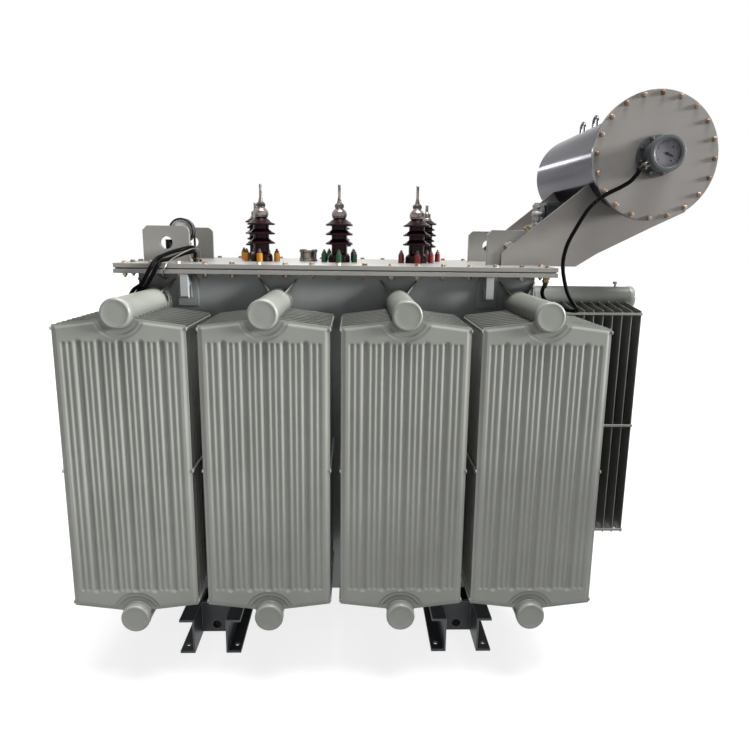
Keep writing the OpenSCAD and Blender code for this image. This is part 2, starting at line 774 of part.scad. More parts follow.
module thermometer_case() {
  color([0.12, 0.12, 0.12]) {
    difference() {
      rod_y(thermo_x, thermo_front, thermo_z, thermo_diameter / 2, thermo_depth);
      rod_y(thermo_x, thermo_front - 1, thermo_z, thermo_diameter / 2 - 5, 7);
    }
    translate([thermo_x + stem_offset, thermo_front + thermo_depth * 0.74, cover_top])
      cylinder(r = stem_radius, h = thermo_height);
    translate([thermo_x - pocket_offset, thermo_front + pocket_radius, cover_top])
      cylinder(r = pocket_radius, h = pocket_height);
    translate([thermo_x + thermo_lead_offset, thermo_front + thermo_depth / 2, thermo_route[0][2]])
      cylinder(r = 10, h = thermo_z - thermo_route[0][2] - thermo_diameter / 2 + 12);
  }
}

module thermometer_dial() {
  color([0.86, 0.82, 0.80])
    rod_y(thermo_x, thermo_front + 3, thermo_z, thermo_diameter / 2 - 5, 3);
}

// a gland for the sensor cable and a small boss for the capillary tube
module cover_gland() {
  color([0.05, 0.05, 0.05]) {
    translate([sensor_route[0][0], sensor_route[0][1], cover_top])
      cylinder(r = gland_radius, h = sensor_route[0][2] - cover_top);
    translate([wire_route[0][0], wire_route[0][1], cover_top])
      cylinder(r = 6, h = wire_route[0][2] - cover_top);
  }
}

// the gauge cable's gland under the flange and the two other cables' glands on the front wall
module tank_glands() {
  color([0.70, 0.60, 0.36]) {
    translate([gauge_end[0], gauge_end[1], flange_bottom - gland_length])
      cylinder(r = gland_radius, h = gland_length);
    for (q = [thermo_end, sensor_end])
      rod_y(q[0], -half_w - gland_length, q[2], gland_radius, gland_length);
  }
}

// the cable gland low on the left of the gauge body
module gauge_gland() {
  color([0.62, 0.62, 0.60])
    difference() {
      translate([cons_x, gauge_gland_y, cons_z]) rotate([0, -90 - 33.9, 0]) cylinder(r = 12, h = 84.3);
      rod_y(cons_x, gauge_gland_y - 40, cons_z, bezel_radius - 12, 80);
    }
}

// unit vector along v
function unit(v) = v / norm(v);

// a point on the smooth curve through four route points
function curve_point(a, b, c, d, t) =
  0.5 * (2 * b + (c - a) * t + (2 * a - 5 * b + 4 * c - d) * t * t + (3 * b - 3 * c + d - a) * t * t * t);

// the route with n steps between its points
function smooth(p, n) = concat(
  [for (i = [0 : len(p) - 2], k = [0 : n - 1])
    curve_point(p[max(i - 1, 0)], p[i], p[i + 1], p[min(i + 2, len(p) - 1)], k / n)],
  [p[len(p) - 1]]);

// direction of a route at each of its points
function headings(p) = [for (i = [0 : len(p) - 1])
  unit(p[min(i + 1, len(p) - 1)] - p[max(i - 1, 0)])];

// side vectors carried along the route without twist
function sides(t, i, s) = let (n = unit(s - (s * t[i]) * t[i]))
  i == len(t) - 1 ? [n] : concat([n], sides(t, i + 1, n));

// a round tube of radius r along a route
module tube(route, r, steps, count) {
  p = smooth(route, steps);
  t = headings(p);
  u = sides(t, 0, [0.1, 0.98, 0.17]);
  m = len(p);
  rings = [for (i = [0 : m - 1], k = [0 : count - 1])
    let (a = 360 * k / count) p[i] + r * (cos(a) * u[i] + sin(a) * cross(t[i], u[i]))];
  skin = [for (i = [0 : m - 2], k = [0 : count - 1], h = [0, 1])
    let (b = i * count, e = b + count, k2 = (k + 1) % count)
      h == 0 ? [b + k, e + k2, b + k2] : [b + k, e + k, e + k2]];
  caps = [[for (k = [0 : count - 1]) k], [for (k = [count - 1 : -1 : 0]) (m - 1) * count + k]];
  polyhedron(points = rings, faces = concat(skin, caps), convexity = 6);
}

module gauge_cable() { color([0.03, 0.03, 0.035]) tube(gauge_route, cable_r, 2, 10); }
module thermometer_cable() { color([0.03, 0.03, 0.035]) tube(thermo_route, cable_r, 2, 10); }
module sensor_cable() { color([0.03, 0.03, 0.035]) tube(sensor_route, cable_r, 2, 10); }
module capillary_tube() { color([0.62, 0.58, 0.54]) tube(wire_route, wire_r, 2, 8); }

// a bent-bar lifting loop on top of the shell, its middle at y
module lifting_loop(y) {
  translate([cons_x, y, cons_z + cons_radius]) {
    for (s = [-1, 1])
      translate([0, s * loop_span / 2, -3])
        cylinder(r = loop_bar / 2, h = loop_height - (loop_span + loop_bar) / 2 + 3);
    translate([0, 0, loop_height - (loop_span + loop_bar) / 2]) rotate([90, 0, 90])
      rotate_extrude(angle = 180) translate([loop_span / 2, 0]) circle(r = loop_bar / 2);
  }
}

module conservator_shell() {
  color([0.66, 0.66, 0.66]) {
    difference() {
      union() {
        rod_y(cons_x, cons_front + plate_thickness, cons_z, cons_radius,
          cons_back - cons_front - 2 * plate_thickness);
        rod_y(cons_x, cons_front + plate_thickness, cons_z, plate_radius, plate_thickness);
        for (y = [250, 440]) lifting_loop(y);
      }
      rod_y(cons_x, cons_front, cons_z, cons_radius - cons_wall, cons_back - cons_front);
    }
  }
}

module conservator_front_plate() {
  color([0.57, 0.56, 0.53])
    rod_y(cons_x, cons_front, cons_z, plate_radius, plate_thickness);
}

module conservator_rear_plate() {
  color([0.60, 0.60, 0.60])
    rod_y(cons_x, cons_back - plate_thickness, cons_z, cons_radius, plate_thickness);
}

// a conservator bracket from y0, cut to the shell
module bracket(y0) {
  color([0.52, 0.51, 0.48])
    along_y(y0, bracket_thickness)
      difference() {
        polygon([[bracket_left, cover_top], [cons_x - 223, cover_top], [cons_x - 131, cover_top + 58],
          [cons_x + 107, cover_top + 177], [cons_x + bracket_past, cover_top + 249],
          [cons_x + bracket_past, cons_z - 130], [cons_x, cons_z],
          [cons_x - 180, cons_z - 86], [bracket_left, cover_top + bracket_step]]);
        translate([cons_x, cons_z]) circle(r = cons_radius);
      }
}

module bracket_front() { bracket(-bracket_y - bracket_thickness); }
module bracket_rear() { bracket(bracket_y); }

// a bar of radius r between two points in the plane y = 0
module bar_xz(a, b, r) {
  d = b - a;
  translate([a[0], 0, a[1]]) rotate([0, atan2(d[0], d[1]), 0]) cylinder(r = r, h = norm(d));
}

// the oil pipe: a flanged foot and a slope with a ring flange and a coupling
module oil_pipe() {
  foot = [oil_pipe_foot, cover_top + oil_pipe_riser];
  elbow = [oil_pipe_tee, relay_axis - oil_pipe_rise];
  color([0.52, 0.51, 0.48]) {
    translate([oil_pipe_foot, 0, cover_top]) cylinder(r = oil_pipe_radius * 2.2, h = 10);
    bar_xz([oil_pipe_foot, cover_top], foot, oil_pipe_radius);
    bar_xz(foot, elbow, oil_pipe_radius);
    bar_xz(foot + (elbow - foot) * 0.17, foot + (elbow - foot) * 0.24, oil_ring_radius);
    bar_xz(foot + (elbow - foot) * 0.76, foot + (elbow - foot) * 0.88, oil_pipe_radius * 1.3);
    for (q = [foot, elbow]) translate([q[0], 0, q[1]]) sphere(r = elbow_radius);
  }
}

// the gas relay: a flanged casting with a raised lid, and the pipe from it up to the shell
module relay() {
  color([0.20, 0.23, 0.25]) {
    difference() {
      union() {
        span([relay_left + 12, -relay_width / 2, relay_axis - relay_height * 0.57],
          [relay_right - 12, relay_width / 2, relay_axis + relay_height * 0.3]);
        span([relay_left + 6, -relay_width / 2 - 6, relay_axis + relay_height * 0.3],
          [relay_right - 6, relay_width / 2 + 6, relay_axis + relay_height * 0.43]);
        bar_xz([relay_left, relay_axis], [relay_right, relay_axis], oil_pipe_radius * 1.6);
        for (x = [relay_left, relay_right - 8]) bar_xz([x, relay_axis], [x + 8, relay_axis], relay_flange);
        bar_xz([relay_right, relay_axis], [feed_x, relay_axis], oil_pipe_radius * 1.3);
        translate([feed_x, 0, relay_axis]) sphere(r = oil_pipe_radius * 1.5);
        bar_xz([feed_x, relay_axis], [feed_x, cons_z], oil_pipe_radius * 1.3);
      }
      rod_y(cons_x, -relay_width, cons_z, cons_radius, 2 * relay_width);
    }
  }
}

// the white upright with its union nuts, the tee to the relay and the drain valve on it
module relay_valve() {
  color([0.80, 0.80, 0.78])
    translate([oil_pipe_tee, 0, relay_axis]) difference() {
      union() {
        translate([0, 0, -oil_pipe_rise])
          cylinder(r = oil_pipe_radius * 0.85, h = oil_pipe_rise + valve_height * 0.6);
        for (z = [-oil_pipe_rise + elbow_radius, valve_height * 0.55])
          translate([0, 0, z]) cylinder(r = valve_radius, h = valve_height * 0.28, $fn = 6);
        cylinder(r = valve_radius * 0.6, h = valve_height);
        rotate([0, 90, 0]) cylinder(r = oil_pipe_radius * 0.7, h = relay_gap);
        sphere(r = elbow_radius);
      }
      translate([0, 0, -oil_pipe_rise]) sphere(r = elbow_radius);
    }
}

module gauge_body() {
  color([0.40, 0.43, 0.45])
    translate([cons_x, cons_front, cons_z]) rotate([90, 0, 0])
      difference() {
        union() {
          cylinder(r = bezel_radius + 12, h = 12);
          cylinder(r = bezel_radius - 12, h = gauge_proud - 26);
          translate([0, 0, gauge_proud - 28]) cylinder(r = bezel_radius, h = 28);
        }
        translate([0, 0, gauge_proud - 12]) cylinder(r = bezel_radius - 12, h = 20);
      }
}

module gauge_dial() {
  color([0.75, 0.75, 0.77])
    translate([cons_x, cons_front - gauge_proud + 12, cons_z]) rotate([90, 0, 0])
      cylinder(r = bezel_radius - 12, h = 3);
}

skid_left();
skid_right();
tank_floor();
tank_front_wall();
tank_rear_wall();
tank_left_wall();
tank_right_wall();
tank_flange();
pipe_stubs();
stub_ribs();
cover_gasket();
tank_cover();
radiator_front_1();
radiator_front_2();
radiator_front_3();
radiator_front_4();
radiator_rear_1();
radiator_rear_2();
radiator_rear_3();
radiator_rear_4();
radiator_end();
vent_plug();
hooks_front();
hooks_rear();
lug_front_left();
lug_rear_left();
lug_front_right();
lug_rear_right();
hv_porcelain();
hv_terminals();
lv_porcelain();
lv_terminals();
clamps_yellow();
clamps_green();
clamps_red();
tap_changer_head();
thermometer_case();
thermometer_dial();
cover_gland();
tank_glands();
gauge_gland();
gauge_cable();
thermometer_cable();
sensor_cable();
capillary_tube();
conservator_shell();
conservator_front_plate();
conservator_rear_plate();
bracket_front();
bracket_rear();
oil_pipe();
relay();
relay_valve();
gauge_body();
gauge_dial();
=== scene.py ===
"""Looks of an oil-filled power transformer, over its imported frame. Metres, +Z up, front towards -Y."""
from math import cos, hypot, pi, radians, sin

import bpy
import numpy as np
from mathutils import Matrix, Vector


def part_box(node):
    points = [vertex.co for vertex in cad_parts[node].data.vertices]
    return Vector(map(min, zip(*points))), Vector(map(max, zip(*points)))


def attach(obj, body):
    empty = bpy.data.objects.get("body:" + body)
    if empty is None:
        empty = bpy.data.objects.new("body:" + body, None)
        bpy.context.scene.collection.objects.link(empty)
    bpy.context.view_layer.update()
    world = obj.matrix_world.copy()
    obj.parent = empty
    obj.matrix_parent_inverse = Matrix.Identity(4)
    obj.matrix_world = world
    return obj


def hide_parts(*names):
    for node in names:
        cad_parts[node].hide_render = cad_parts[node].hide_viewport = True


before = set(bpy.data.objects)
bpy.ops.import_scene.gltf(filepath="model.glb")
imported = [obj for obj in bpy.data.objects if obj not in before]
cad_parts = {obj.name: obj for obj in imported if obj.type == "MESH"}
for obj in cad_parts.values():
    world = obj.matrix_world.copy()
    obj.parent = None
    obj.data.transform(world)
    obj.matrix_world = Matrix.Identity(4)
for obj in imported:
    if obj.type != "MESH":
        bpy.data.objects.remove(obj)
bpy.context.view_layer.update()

# Sizes, in metres
MM = 0.001
TANK_LENGTH = 1710 * MM
TANK_WIDTH = 780 * MM
RADIATOR_PITCH = 521 * MM
PANEL_COUNT = 10
PANEL_PITCH = 45 * MM
PANEL_WIDTH = 480 * MM
PANEL_TOP = 1487 * MM
PANEL_BOTTOM = 375 * MM
PANEL_GABLE = 30 * MM
PANEL_HALF = 6 * MM
RIM_HALF = 1.5 * MM
RIM_WIDTH = 18 * MM
RIM_FLAT = 6 * MM
RIM_BEND = 8 * MM
PANEL_REACH = 493 * MM
END_PANEL_REACH = 559 * MM
HEADER_RADIUS = 54 * MM
HEADER_LOW = 331 * MM
HEADER_HIGH = 1531 * MM
CAP_RADIUS = 56 * MM
CAP_LENGTH = 30 * MM
CAP_PROUD = 35 * MM
END_CAP_PROUD = 50 * MM
STUB_LENGTH = 40 * MM
WIDE_FLUTES = (-150 * MM, -75 * MM, 0, 75 * MM, 150 * MM)
WIDE_HALF = 16.5 * MM
WIDE_DEPTH = 9 * MM
WIDE_LONGER = 12 * MM
FINE_FLUTES = tuple(x * MM for x in (-202, -180, -123, -102, -48, -27, 27, 48, 102, 123, 180, 202))
FINE_HALF = 10.5 * MM
FINE_DEPTH = 4.6 * MM
FINE_LONGER = 3 * MM
FLUTE_MARGIN = 62 * MM
RING_RADII = (96 * MM, 80 * MM)
RING_DEPTH = 3 * MM
RING_LEAD = 2 * MM
RING_BLEND = 5 * MM
GRID_STEP = 2.5 * MM
TIE_INSET = 14 * MM
TIE_PAST = 6 * MM
CONSERVATOR_X = 1299 * MM
CONSERVATOR_Z = 2148 * MM
PLATE_RADIUS = 259 * MM
PLATE_BOLTS = 20
PLATE_BOLT_INSET = 13.5 * MM
FIRST_PLATE_BOLT = 88.7
BEZEL_RADIUS = 71 * MM
BEZEL_WIDTH = 18 * MM
GAUGE_BASE = 12 * MM
GAUGE_BOLTS = 8
COVER_BOLT_INSET = 36 * MM
COVER_BOLTS_ALONG = 16
COVER_BOLTS_ACROSS = 8
BRACKET_FOOT_END = 936 * MM
TANK_BOTTOM = 170 * MM
OIL_PIPE_FOOT = Vector((785, 0, 1740)) * MM
OIL_PIPE_ELBOW = Vector((953, 0, 1878)) * MM
HV_PITCH = 371 * MM
HV_SHIFT = -5 * MM
HV_ROW = -55 * MM
HV_PORCELAIN = 199 * MM
HV_NUT_RISE = 56 * MM
LV_PITCH = 438 * MM
LV_ROW = 185 * MM
LV_PORCELAIN = 206 * MM
LV_NUT_RISE = 17 * MM
HV_POT_RADIUS = 72 * MM
LV_POT_RADIUS = 62 * MM
POT_HEIGHT = 40 * MM

# Places read from the frame
cover_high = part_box("tank_cover")[1]
plate_low, plate_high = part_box("conservator_front_plate")
COVER_TOP = cover_high.z
FLANGE_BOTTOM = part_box("tank_flange")[0].z


# Camera at the photograph's viewing angle
def set_camera():
    focal_px = 651.61
    frame_px = 750
    place = Vector((67.3, -3247.89, 1801.73)) * MM
    yaw = radians(1.93)
    pitch = radians(11.79)
    roll = radians(0.76)
    ahead = Vector((sin(yaw) * cos(pitch), cos(yaw) * cos(pitch), -sin(pitch)))
    right = Vector((cos(yaw), -sin(yaw), 0))
    up = right.cross(ahead)
    side = right * cos(roll) + up * sin(roll)
    top = up * cos(roll) - right * sin(roll)
    lens = bpy.data.cameras.new("camera")
    lens.sensor_width = 36
    lens.lens = focal_px / frame_px * lens.sensor_width
    lens.clip_end = 200
    camera = bpy.data.objects.new("camera", lens)
    camera.matrix_world = Matrix((side, top, -ahead)).transposed().to_4x4()
    camera.matrix_world.translation = place
    bpy.context.scene.collection.objects.link(camera)
    bpy.context.scene.camera = camera


# Small tools for shapes
class Shape:
    """The points and faces of one piece."""

    def __init__(self):
        self.points = []
        self.faces = []

    def add(self, points, faces, matrix=None):
        start = len(self.points)
        moved = [matrix @ Vector(p) for p in points] if matrix else [Vector(p) for p in points]
        self.points.extend(moved)
        self.faces.extend([start + i for i in face] for face in faces)
        return self


def frame_at(place, axis, turn=0.0):
    """A matrix that carries +Z to the axis and the origin to the place."""
    spin = Matrix.Rotation(turn, 4, "Z")
    aim = Vector(axis).to_track_quat("Z", "Y").to_matrix().to_4x4()
    return Matrix.Translation(Vector(place)) @ aim @ spin


def skin(rows, wrap=False):
    """Faces over rows of points of equal length."""
    count = len(rows[0])
    points = [p for row in rows for p in row]
    faces = []
    for i in range(len(rows) - 1):
        for k in range(count if wrap else count - 1):
            n = (k + 1) % count
            faces.append((i * count + k, i * count + n, (i + 1) * count + n, (i + 1) * count + k))
    return points, faces


def lathe(profile, sides=32):
    """A closed turned form from a profile of (radius, height), flat at both ends."""
    rows = [[(r * cos(2 * pi * k / sides), r * sin(2 * pi * k / sides), h) for k in range(sides)]
            for r, h in profile]
    points, faces = skin(rows, wrap=True)
    last = (len(profile) - 1) * sides
    faces.append(tuple(range(sides - 1, -1, -1)))
    faces.append(tuple(range(last, last + sides)))
    return points, faces


def ring(profile, sides=48):
    """A turned ring from a closed profile of (radius, height)."""
    rows = [[(r * cos(2 * pi * k / sides), r * sin(2 * pi * k / sides), h) for k in range(sides)]
            for r, h in list(profile) + [profile[0]]]
    return skin(rows, wrap=True)


def hexagon(flats, height):
    """A nut or bolt head with its top corners turned off."""
    r = flats / 3 ** 0.5
    c = 0.12 * height
    return lathe([(r * 0.96, 0), (r, c * 0.4), (r, height - c), (r * 0.88, height)], 6)


def bolt(flats, head, washer_radius, washer, tip=0.0):
    """A bolt head or nut on its washer, with the end of the thread where one shows."""
    s = Shape()
    s.add(*lathe([(washer_radius, 0), (washer_radius, washer * 0.7), (washer_radius * 0.95, washer)], 20))
    s.add(*hexagon(flats, head), Matrix.Translation((0, 0, washer)))
    if tip:
        thread = flats * 0.31
        s.add(*lathe([(thread, 0), (thread, tip * 0.75), (thread * 0.8, tip)], 12),
              Matrix.Translation((0, 0, washer + head)))
    return s


def tube(path, radius, sides=8):
    """A round tube through the points of a path, closed at its ends."""
    path = [Vector(p) for p in path]
    side = Vector((0.13, 0.98, 0.17))
    rows = []
    for i, p in enumerate(path):
        along = (path[min(i + 1, len(path) - 1)] - path[max(i - 1, 0)]).normalized()
        side = (side - along * side.dot(along)).normalized()
        other = along.cross(side)
        r = radius[i] if isinstance(radius, list) else radius
        rows.append([p + (side * cos(2 * pi * k / sides) + other * sin(2 * pi * k / sides)) * r
                     for k in range(sides)])
    points, faces = skin(rows, wrap=True)
    last = (len(path) - 1) * sides
    faces.append(tuple(range(sides - 1, -1, -1)))
    faces.append(tuple(range(last, last + sides)))
    return points, faces


def bead(a, b, radius, ripple=9 * MM):
    """A weld bead from a to b, swelling with each ripple."""
    a = Vector(a)
    b = Vector(b)
    steps = max(4, int((b - a).length / ripple * 2))
    path = [a.lerp(b, i / steps) for i in range(steps + 1)]
    radii = [radius * (1.0 if i % 2 else 0.82) for i in range(steps + 1)]
    return tube(path, radii, 6)


def piece(name, shape, material, crease=35):
    """A finished piece on the root body."""
    mesh = bpy.data.meshes.new(name)
    mesh.from_pydata([tuple(p) for p in shape.points], [], shape.faces)
    mesh.validate()
    mesh.polygons.foreach_set("use_smooth", [True] * len(mesh.polygons))
    mesh.set_sharp_from_angle(angle=radians(crease))
    mesh.materials.append(material)
    made = bpy.data.objects.new(name, mesh)
    bpy.context.scene.collection.objects.link(made)
    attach(made, "root")
    return made


# Small tools for materials
def linear(code):
    """Linear colour from an sRGB hex code."""
    parts = [int(code[i:i + 2], 16) / 255 for i in (1, 3, 5)]
    return tuple(c / 12.92 if c <= 0.04045 else ((c + 0.055) / 1.055) ** 2.4 for c in parts) + (1.0,)


def per_size(size):
    """Texture scale at which one feature measures that size in metres."""
    return 1 / size


def add(tree, kind, inputs=None, **settings):
    """One node with its settings, and its inputs as values or as the sockets that feed them."""
    made = tree.nodes.new(kind)
    for key, value in settings.items():
        setattr(made, key, value)
    for key, value in (inputs or {}).items():
        if isinstance(value, bpy.types.NodeSocket):
            tree.links.new(value, made.inputs[key])
        else:
            made.inputs[key].default_value = value
    return made


def new_material(name):
    material = bpy.data.materials.new(name)
    material.use_nodes = True
    tree = material.node_tree
    tree.nodes.clear()
    return material, tree


def finish_material(tree, surface):
    add(tree, "ShaderNodeOutputMaterial", {"Surface": surface})


def sprayed_enamel(name, code, shade, rough, corners=0.62, edge_wear_and_highlight=None, reach=60 * MM, clear=0.95):
    """Enamel on steel: satin, a little uneven, painted shade in hollows, edges pale with wear and painted
    highlight.
    """
    material, tree = new_material(name)
    where = add(tree, "ShaderNodeTexCoord").outputs["Object"]
    cloud = add(tree, "ShaderNodeTexNoise", {"Vector": where, "Scale": per_size(260 * MM), "Detail": 3.0})
    stretch = add(tree, "ShaderNodeMapping", {"Vector": where, "Scale": (1.0, 1.0, 0.08)})
    streak = add(tree, "ShaderNodeTexNoise", {"Vector": stretch.outputs[0], "Scale": per_size(45 * MM),
                                             "Detail": 2.0})
    even = add(tree, "ShaderNodeMath", {0: streak.outputs[0], 1: 0.05}, operation="MULTIPLY")
    mixed = add(tree, "ShaderNodeMath", {0: cloud.outputs[0], 1: even.outputs[0]}, operation="ADD")
    amount = add(tree, "ShaderNodeMapRange", {"Value": mixed.outputs[0], "From Min": 0.35,
                                             "From Max": 0.75})
    tone = add(tree, "ShaderNodeMix", {"Factor": amount.outputs[0], "A": linear(shade), "B": linear(code)},
               data_type="RGBA")
    # Painted shade: the colour darkens where ambient occlusion finds surfaces near, in hollows, flutes and
    # gaps between parts
    painted_shade_ao = add(tree, "ShaderNodeAmbientOcclusion", {"Distance": reach}, samples=4)
    depth = add(tree, "ShaderNodeMapRange", {"Value": painted_shade_ao.outputs["AO"], "From Min": 0.2,
                                            "From Max": clear, "To Min": corners})
    colour = add(tree, "ShaderNodeMix", {"Factor": 1.0, "A": tone.outputs["Result"],
                                         "B": depth.outputs[0]}, data_type="RGBA", blend_type="MULTIPLY")
    # The spray's real grain is about 1 mm, and it is drawn coarser so that it shows
    grain = add(tree, "ShaderNodeTexNoise", {"Vector": where, "Scale": per_size(4 * MM), "Detail": 1.0})
    gloss = add(tree, "ShaderNodeMapRange", {"Value": cloud.outputs[0], "To Min": rough - 0.06,
                                            "To Max": rough + 0.08})
    edge = add(tree, "ShaderNodeBevel", {"Radius": 2.5 * MM}, samples=4)
    bump = add(tree, "ShaderNodeBump", {"Height": grain.outputs[0], "Strength": 0.06,
                                        "Distance": 0.4 * MM, "Normal": edge.outputs[0]})
    # Pale edges: part wear from rubbing and part a painted highlight along every edge
    if edge_wear_and_highlight:
        flat = add(tree, "ShaderNodeNewGeometry").outputs["Normal"]
        broad = add(tree, "ShaderNodeBevel", {"Radius": 10 * MM}, samples=6)
        turn = add(tree, "ShaderNodeVectorMath", {0: broad.outputs[0], 1: flat}, operation="DOT_PRODUCT")
        rubbed_and_highlit = add(tree, "ShaderNodeMapRange", {"Value": turn.outputs["Value"], "From Min": 0.75,
                                                 "From Max": 0.98, "To Min": 1.0, "To Max": 0.0})
        colour = add(tree, "ShaderNodeMix", {"Factor": rubbed_and_highlit.outputs[0], "A": colour.outputs["Result"],
                                             "B": linear(edge_wear_and_highlight)}, data_type="RGBA")
    paint = add(tree, "ShaderNodeBsdfPrincipled", {"Base Color": colour.outputs["Result"],
                                                   "Roughness": gloss.outputs[0],
                                                   "Normal": bump.outputs[0]})
    finish_material(tree, paint.outputs[0])
    return material


def worn_metal(name, bright, dull, rough, patch, metallic=1.0):
    """Bare or plated metal: bright where it is handled and duller in patches, with fine scratches."""
    material, tree = new_material(name)
    where = add(tree, "ShaderNodeTexCoord").outputs["Object"]
    cloud = add(tree, "ShaderNodeTexNoise", {"Vector": where, "Scale": per_size(patch), "Detail": 2.0})
    amount = add(tree, "ShaderNodeMapRange", {"Value": cloud.outputs[0], "From Min": 0.36,
                                             "From Max": 0.66})
    tone = add(tree, "ShaderNodeMix", {"Factor": amount.outputs[0], "A": linear(dull),
                                       "B": linear(bright)}, data_type="RGBA")
    # Real scratches are under 1 mm, and they are drawn coarser so that they show
    scratch = add(tree, "ShaderNodeTexNoise", {"Vector": where, "Scale": per_size(2.5 * MM)})
    gloss = add(tree, "ShaderNodeMapRange", {"Value": scratch.outputs[0], "To Min": rough - 0.1,
                                            "To Max": rough + 0.12})
    bump = add(tree, "ShaderNodeBump", {"Height": scratch.outputs[0], "Strength": 0.08,
                                        "Distance": 0.3 * MM})
    metal = add(tree, "ShaderNodeBsdfPrincipled", {"Base Color": tone.outputs["Result"],
                                                   "Metallic": metallic, "Roughness": gloss.outputs[0],
                                                   "Normal": bump.outputs[0]})
    finish_material(tree, metal.outputs[0])
    return material


def rolled_stainless(name, dark, light):
    """Cold-rolled stainless, dark as a painted reflection of dark surroundings; grey streaks along the roll,
    softened across it.
    """
    material, tree = new_material(name)
    where = add(tree, "ShaderNodeTexCoord").outputs["Object"]
    stretch = add(tree, "ShaderNodeMapping", {"Vector": where, "Scale": (1.0, 0.04, 1.0)})
    # Real roll lines are under 1 mm apart, and they are drawn wider so that they show
    line = add(tree, "ShaderNodeTexNoise", {"Vector": stretch.outputs[0], "Scale": per_size(7 * MM),
                                           "Detail": 3.0})
    band = add(tree, "ShaderNodeTexNoise", {"Vector": stretch.outputs[0], "Scale": per_size(90 * MM)})
    share = add(tree, "ShaderNodeMapRange", {"Value": band.outputs[0], "From Min": 0.35, "From Max": 0.65})
    tone = add(tree, "ShaderNodeMix", {"Factor": share.outputs[0], "A": linear(dark), "B": linear(light)},
               data_type="RGBA")
    gloss = add(tree, "ShaderNodeMapRange", {"Value": line.outputs[0], "To Min": 0.13, "To Max": 0.2})
    bump = add(tree, "ShaderNodeBump", {"Height": line.outputs[0], "Strength": 0.05,
                                        "Distance": 0.2 * MM})
    metal = add(tree, "ShaderNodeBsdfPrincipled", {"Base Color": tone.outputs["Result"], "Metallic": 1.0,
                                                   "Roughness": gloss.outputs[0],
                                                   "Specular Tint": linear("#c4c4c6"),
                                                   "Normal": bump.outputs[0]})
    finish_material(tree, metal.outputs[0])
    return material


def brown_glaze():
    """Glazed porcelain: almost black red-brown, a little uneven, with small sharp highlights."""
    material, tree = new_material("brown_glaze")
    where = add(tree, "ShaderNodeTexCoord").outputs["Object"]
    cloud = add(tree, "ShaderNodeTexNoise", {"Vector": where, "Scale": per_size(30 * MM), "Detail": 2.0})
    tone = add(tree, "ShaderNodeMix", {"Factor": cloud.outputs[0], "A": linear("#1a0a11"),
                                       "B": linear("#2f121a")}, data_type="RGBA")
    gloss = add(tree, "ShaderNodeMapRange", {"Value": cloud.outputs[0], "To Min": 0.1, "To Max": 0.18})
    glaze = add(tree, "ShaderNodeBsdfPrincipled", {"Base Color": tone.outputs["Result"],
                                                   "Roughness": gloss.outputs[0],
                                                   "Specular IOR Level": 0.12})
    finish_material(tree, glaze.outputs[0])
    return material


def moulded(name, code, shade, rough, grit, sheen=0.5):
    """Moulded rubber, plastic or printed card: soft sheen over a fine grit."""
    material, tree = new_material(name)
    where = add(tree, "ShaderNodeTexCoord").outputs["Object"]
    cloud = add(tree, "ShaderNodeTexNoise", {"Vector": where, "Scale": per_size(40 * MM), "Detail": 2.0})
    tone = add(tree, "ShaderNodeMix", {"Factor": cloud.outputs[0], "A": linear(shade), "B": linear(code)},
               data_type="RGBA")
    # The mould's real grit is about 0.2 mm, and it is drawn coarser so that it shows
    fine = add(tree, "ShaderNodeTexNoise", {"Vector": where, "Scale": per_size(grit)})
    gloss = add(tree, "ShaderNodeMapRange", {"Value": fine.outputs[0], "To Min": rough - 0.05,
                                            "To Max": rough + 0.1})
    bump = add(tree, "ShaderNodeBump", {"Height": fine.outputs[0], "Strength": 0.1, "Distance": 0.2 * MM})
    body = add(tree, "ShaderNodeBsdfPrincipled", {"Base Color": tone.outputs["Result"],
                                                  "Roughness": gloss.outputs[0],
                                                  "Specular IOR Level": sheen,
                                                  "Normal": bump.outputs[0]})
    finish_material(tree, body.outputs[0])
    return material


# The object's finishes
# Radiator enamel: strong painted shade in its flutes and between its panels
RADIATOR_ENAMEL = sprayed_enamel("radiator_enamel", "#8f918b", "#858780", 0.31, 0.48)
# Tank enamel: paler than its paint as painted light on its shaded walls, with strong painted shade behind
# the radiators
TANK_ENAMEL = sprayed_enamel("tank_enamel", "#b0b4b4", "#a5a9a9", 0.36, 0.1, reach=180 * MM, clear=0.32)
COVER_ENAMEL = sprayed_enamel("cover_enamel", "#979590", "#8a8883", 0.36)
BRACKET_ENAMEL = sprayed_enamel("bracket_enamel", "#928e8a", "#888480", 0.38)
SKID_ENAMEL = sprayed_enamel("skid_enamel", "#4a4d51", "#3d4044", 0.42, edge_wear_and_highlight="#9b9ea1")
RELAY_ENAMEL = sprayed_enamel("relay_enamel", "#454c50", "#393f43", 0.4)
CLAMP_YELLOW = sprayed_enamel("clamp_yellow", "#f0a010", "#d98a08", 0.3)
CLAMP_GREEN = sprayed_enamel("clamp_green", "#0d6a3c", "#095030", 0.3)
CLAMP_RED = sprayed_enamel("clamp_red", "#9c1524", "#7d0f1c", 0.3)
VALVE_ENAMEL = sprayed_enamel("valve_enamel", "#d0d0cc", "#c2c2bd", 0.35)
GAUGE_CASTING = sprayed_enamel("gauge_casting", "#53575a", "#46494c", 0.34)
